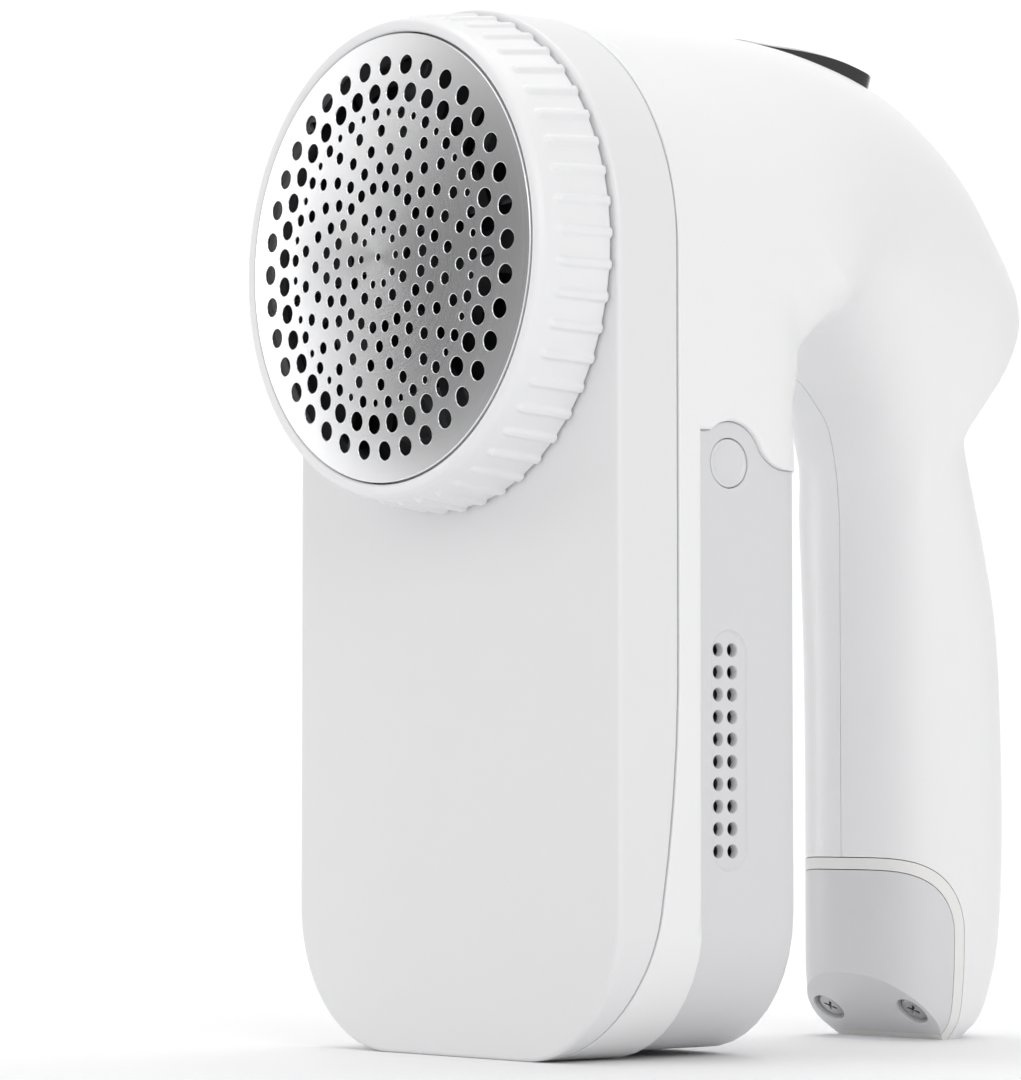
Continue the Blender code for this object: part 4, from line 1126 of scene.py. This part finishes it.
def foil_material():
    """Stainless foil, turned and polished: rings of fine scratches about the head's axis."""
    made, tree, shader = node_material("foil_steel_turned", (0.88, 0.88, 0.89), 0.24, 1.0)
    set_inputs(shader, Anisotropic=0.75)
    tangent = tree.nodes.new("ShaderNodeTangent")
    tangent.direction_type = "RADIAL"
    tangent.axis = "Y"
    tree.links.new(tangent.outputs["Tangent"], shader.inputs["Tangent"])
    place = tree.nodes.new("ShaderNodeTexCoord")
    centre = vector_math(tree, "SUBTRACT", place.outputs["Object"], HEAD)
    flat = vector_math(tree, "MULTIPLY", centre, (1.0, 0.0, 1.0))
    rings = add_node(tree, "ShaderNodeTexNoise", Scale=3000.0, Detail=2.0)
    rings.noise_dimensions = "1D"
    tree.links.new(vector_math(tree, "LENGTH", flat), rings.inputs["W"])
    rough = ranged(tree, rings.outputs["Fac"], 0.23, 0.26)
    tree.links.new(rough, shader.inputs["Roughness"])
    cloud = noise(tree, 260.0)
    varied_colour(tree, shader, cloud, (0.87, 0.87, 0.88), (0.90, 0.90, 0.908))
    bump(tree, shader, rings.outputs["Fac"], 2e-8)
    return made


def board_material():
    """Green solder lacquer over a glass weave."""
    made, tree, shader = node_material("board_lacquer", (0.06, 0.30, 0.16), 0.35)
    weave = noise(tree, 1600.0, 2.0, stretch=(1.0, 0.2, 1.0))
    varied_colour(tree, shader, weave, (0.045, 0.24, 0.12), (0.07, 0.33, 0.18))
    bump(tree, shader, weave, 3e-6)
    return made


SHELL = plastic("white_shell_moulded", (0.87, 0.87, 0.875), 0.30)
FRONT = plastic("white_front_moulded", (0.80, 0.80, 0.807), 0.34)
RING = plastic("ring_fine_matt", (0.84, 0.84, 0.848), 0.42, grain=0.7)
SEAT = plastic("seat_matt", (0.10, 0.10, 0.105), 0.5)
FOIL = foil_material()
# Painted shade: the cutter disc is white plastic, drawn near-black here to stand for the dark seen
# through the foil's holes.
CUTTER_PAINTED_SHADE = plastic("cutter_painted_shade_black", (0.008, 0.008, 0.009), 0.5)
BLADE = metal("blade_ground", (0.05, 0.05, 0.055), 0.38, stretch=(1.0, 1.0, 6.0))
DRIVE = plastic("drive_matt", (0.12, 0.12, 0.13), 0.5)
SHAFT = metal("shaft_ground", (0.60, 0.60, 0.62), 0.3, stretch=(1.0, 8.0, 1.0))
CHAMBER = plastic("chamber_matt", (0.70, 0.71, 0.72), 0.4)
MOTOR = metal("motor_plated", (0.66, 0.67, 0.69), 0.35, scale=900.0)
BLACK = plastic("motor_black_matt", (0.05, 0.05, 0.055), 0.5, shade=0.8)
COPPER = metal("winding_copper", (0.72, 0.42, 0.25), 0.4, stretch=(1.0, 12.0, 1.0))
WRAP = plastic("battery_film", (0.10, 0.28, 0.45), 0.3, shade=0.9, coat=0.4)
CONTACT = metal("contact_plated", (0.75, 0.72, 0.62), 0.3)
BOARD = board_material()
TRACK = plastic("track_matt", (0.72, 0.72, 0.73), 0.45)
GLOSS_BLACK = plastic("switch_gloss", (0.01, 0.01, 0.011), 0.14, grain=0.1, coat=0.6, shade=0.8)
BIN = plastic("bin_satin", (0.70, 0.70, 0.71), 0.36)
BUTTON = plastic("button_satin", (0.71, 0.71, 0.72), 0.34)
COVER = plastic("cover_satin", (0.70, 0.70, 0.71), 0.32)
SEAL = plastic("seal_soft", (0.83, 0.825, 0.81), 0.55, grain=0.8)
SCREW = metal("screw_plated", (0.50, 0.50, 0.52), 0.35, scale=1500.0)

# CAD nodes that stay, by their looks
CARRIED = (
    (SEAT, ("ring_seat",)),
    (CHAMBER, ("chamber_cup",)),
    (MOTOR, ("motor_can",)),
    (BLACK, ("motor_cap", "motor_magnet", "switch_body")),
    (WRAP, ("battery_cell",)),
    (CONTACT, ("battery_contact_low", "battery_contact_high", "charge_socket")),
    (BOARD, ("main_board", "charge_board")),
    (TRACK, ("switch_track",)),
    # The cutter disc takes the near-black painted-shade finish.
    (CUTTER_PAINTED_SHADE, ("cutter_disc",)),
    (BLADE, [f"cutter_blade_{number}" for number in range(1, 7)]),
    (DRIVE, ("cutter_hub", "lint_fan")),
    (SHAFT, ("cutter_spring", "motor_shaft")),
    (COPPER, ("motor_rotor",)),
)


def finish_piece(obj, body, node, look):
    """Material and body of the object, and the CAD node it stands for, which it hides."""
    obj.data.materials.clear()
    obj.data.materials.append(look)
    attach(obj, body)
    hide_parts(node)


def dress_cad_nodes():
    for look, names in CARRIED:
        for name in names:
            for slot in frame["nodes"][name].material_slots:
                slot.link = "OBJECT"
                slot.material = look


# ---- camera, light and floor


def make_camera():
    data = bpy.data.cameras.new("camera")
    data.sensor_width = 36.0
    data.lens = CAMERA_LENS
    data.clip_start = 0.05
    data.clip_end = 20.0
    camera = linked("camera", data)
    camera.location = CAMERA_PLACE
    pitch = math.radians(CAMERA_PITCH)
    x, y = CAMERA_LOOK
    look = Vector((x * math.cos(pitch), y * math.cos(pitch), math.sin(pitch)))
    camera.rotation_mode = "QUATERNION"
    camera.rotation_quaternion = look.to_track_quat("-Z", "Y")
    bpy.context.scene.camera = camera


def area_light(name, place, target, size, power, tall=None):
    data = bpy.data.lights.new(name, "AREA")
    data.shape = "RECTANGLE"
    data.size = size
    data.size_y = tall or size
    data.energy = power
    light = linked(name, data)
    light.location = place
    light.rotation_mode = "QUATERNION"
    light.rotation_quaternion = (Vector(target) - Vector(place)).to_track_quat("-Z", "Y")


def make_stage():
    """A pale floor that curves up into a backdrop, square to the camera."""
    mesh = bpy.data.meshes.new("floor")
    curve = [(0.8 + 0.5 * rise, 0.5 * fall) for fall, rise in quarter(12)]
    line = [(-1.6, 0.0)] + curve + [(1.3, 1.6)]
    x, y = CAMERA_LOOK
    away = Vector((x, y, 0.0)).normalized()
    side = Vector((y, -x, 0.0)).normalized()
    points = []
    for far, high in line:
        for s in (-2.2, 2.2):
            points.append(away * far + side * s + Vector((0.0, 0.0, high)))
    faces = []
    for k in range(len(line) - 1):
        faces.append([2 * k, 2 * k + 1, 2 * k + 3, 2 * k + 2])
    mesh.from_pydata(points, [], faces)
    mesh.shade_smooth()
    floor = linked("floor", mesh)
    made, tree, shader = node_material("floor_paper", (0.92, 0.92, 0.925), 0.7)
    varied_colour(tree, shader, noise(tree, 3.0), (0.91, 0.91, 0.915), (0.93, 0.93, 0.935))
    mesh.materials.append(made)


def make_world():
    """Even white surroundings with a dark card in one direction, for the foil to mirror."""
    world = bpy.data.worlds.new("studio")
    bpy.context.scene.world = world
    world.use_nodes = True
    tree = world.node_tree
    background = tree.nodes["Background"]
    set_inputs(background, Strength=0.62)
    place = tree.nodes.new("ShaderNodeTexCoord")
    card = Vector((-0.682, -0.731, 0.01)).normalized()
    facing = vector_math(tree, "DOT_PRODUCT", place.outputs["Generated"], card)
    fall = add_node(tree, "ShaderNodeMapRange", From_Min=0.955, From_Max=0.992)
    fall.interpolation_type = "SMOOTHSTEP"
    tree.links.new(facing, fall.inputs["Value"])
    colour = mixed(tree, fall.outputs["Result"], (1.0, 1.0, 1.0), (0.02, 0.02, 0.022))
    tree.links.new(colour, background.inputs["Color"])


def make_lights():
    middle = (0.0, 0.0, 0.06)
    area_light("key", (-0.35, -0.95, 0.75), middle, 0.7, 1.5)
    area_light("strip", (-1.0, -0.40, 0.20), middle, 0.22, 1.2, 0.6)
    area_light("side", (0.95, -0.35, 0.5), middle, 0.6, 3.0)
    area_light("top", (0.1, -0.1, 1.1), middle, 0.9, 1.5)
    area_light("backdrop_light", (-0.25, 0.25, 1.0), (-0.95, 0.78, 0.2), 0.7, 5.0)
    scene = bpy.context.scene
    scene.view_settings.view_transform = "Standard"
    scene.view_settings.look = "None"


def main():
    make_camera()
    make_front_housing()
    make_rear_housings()
    make_foil_ring()
    make_foil()
    make_switch()
    make_bin()
    make_buttons()
    make_handle_end()
    dress_cad_nodes()
    make_stage()
    make_world()
    make_lights()


main()
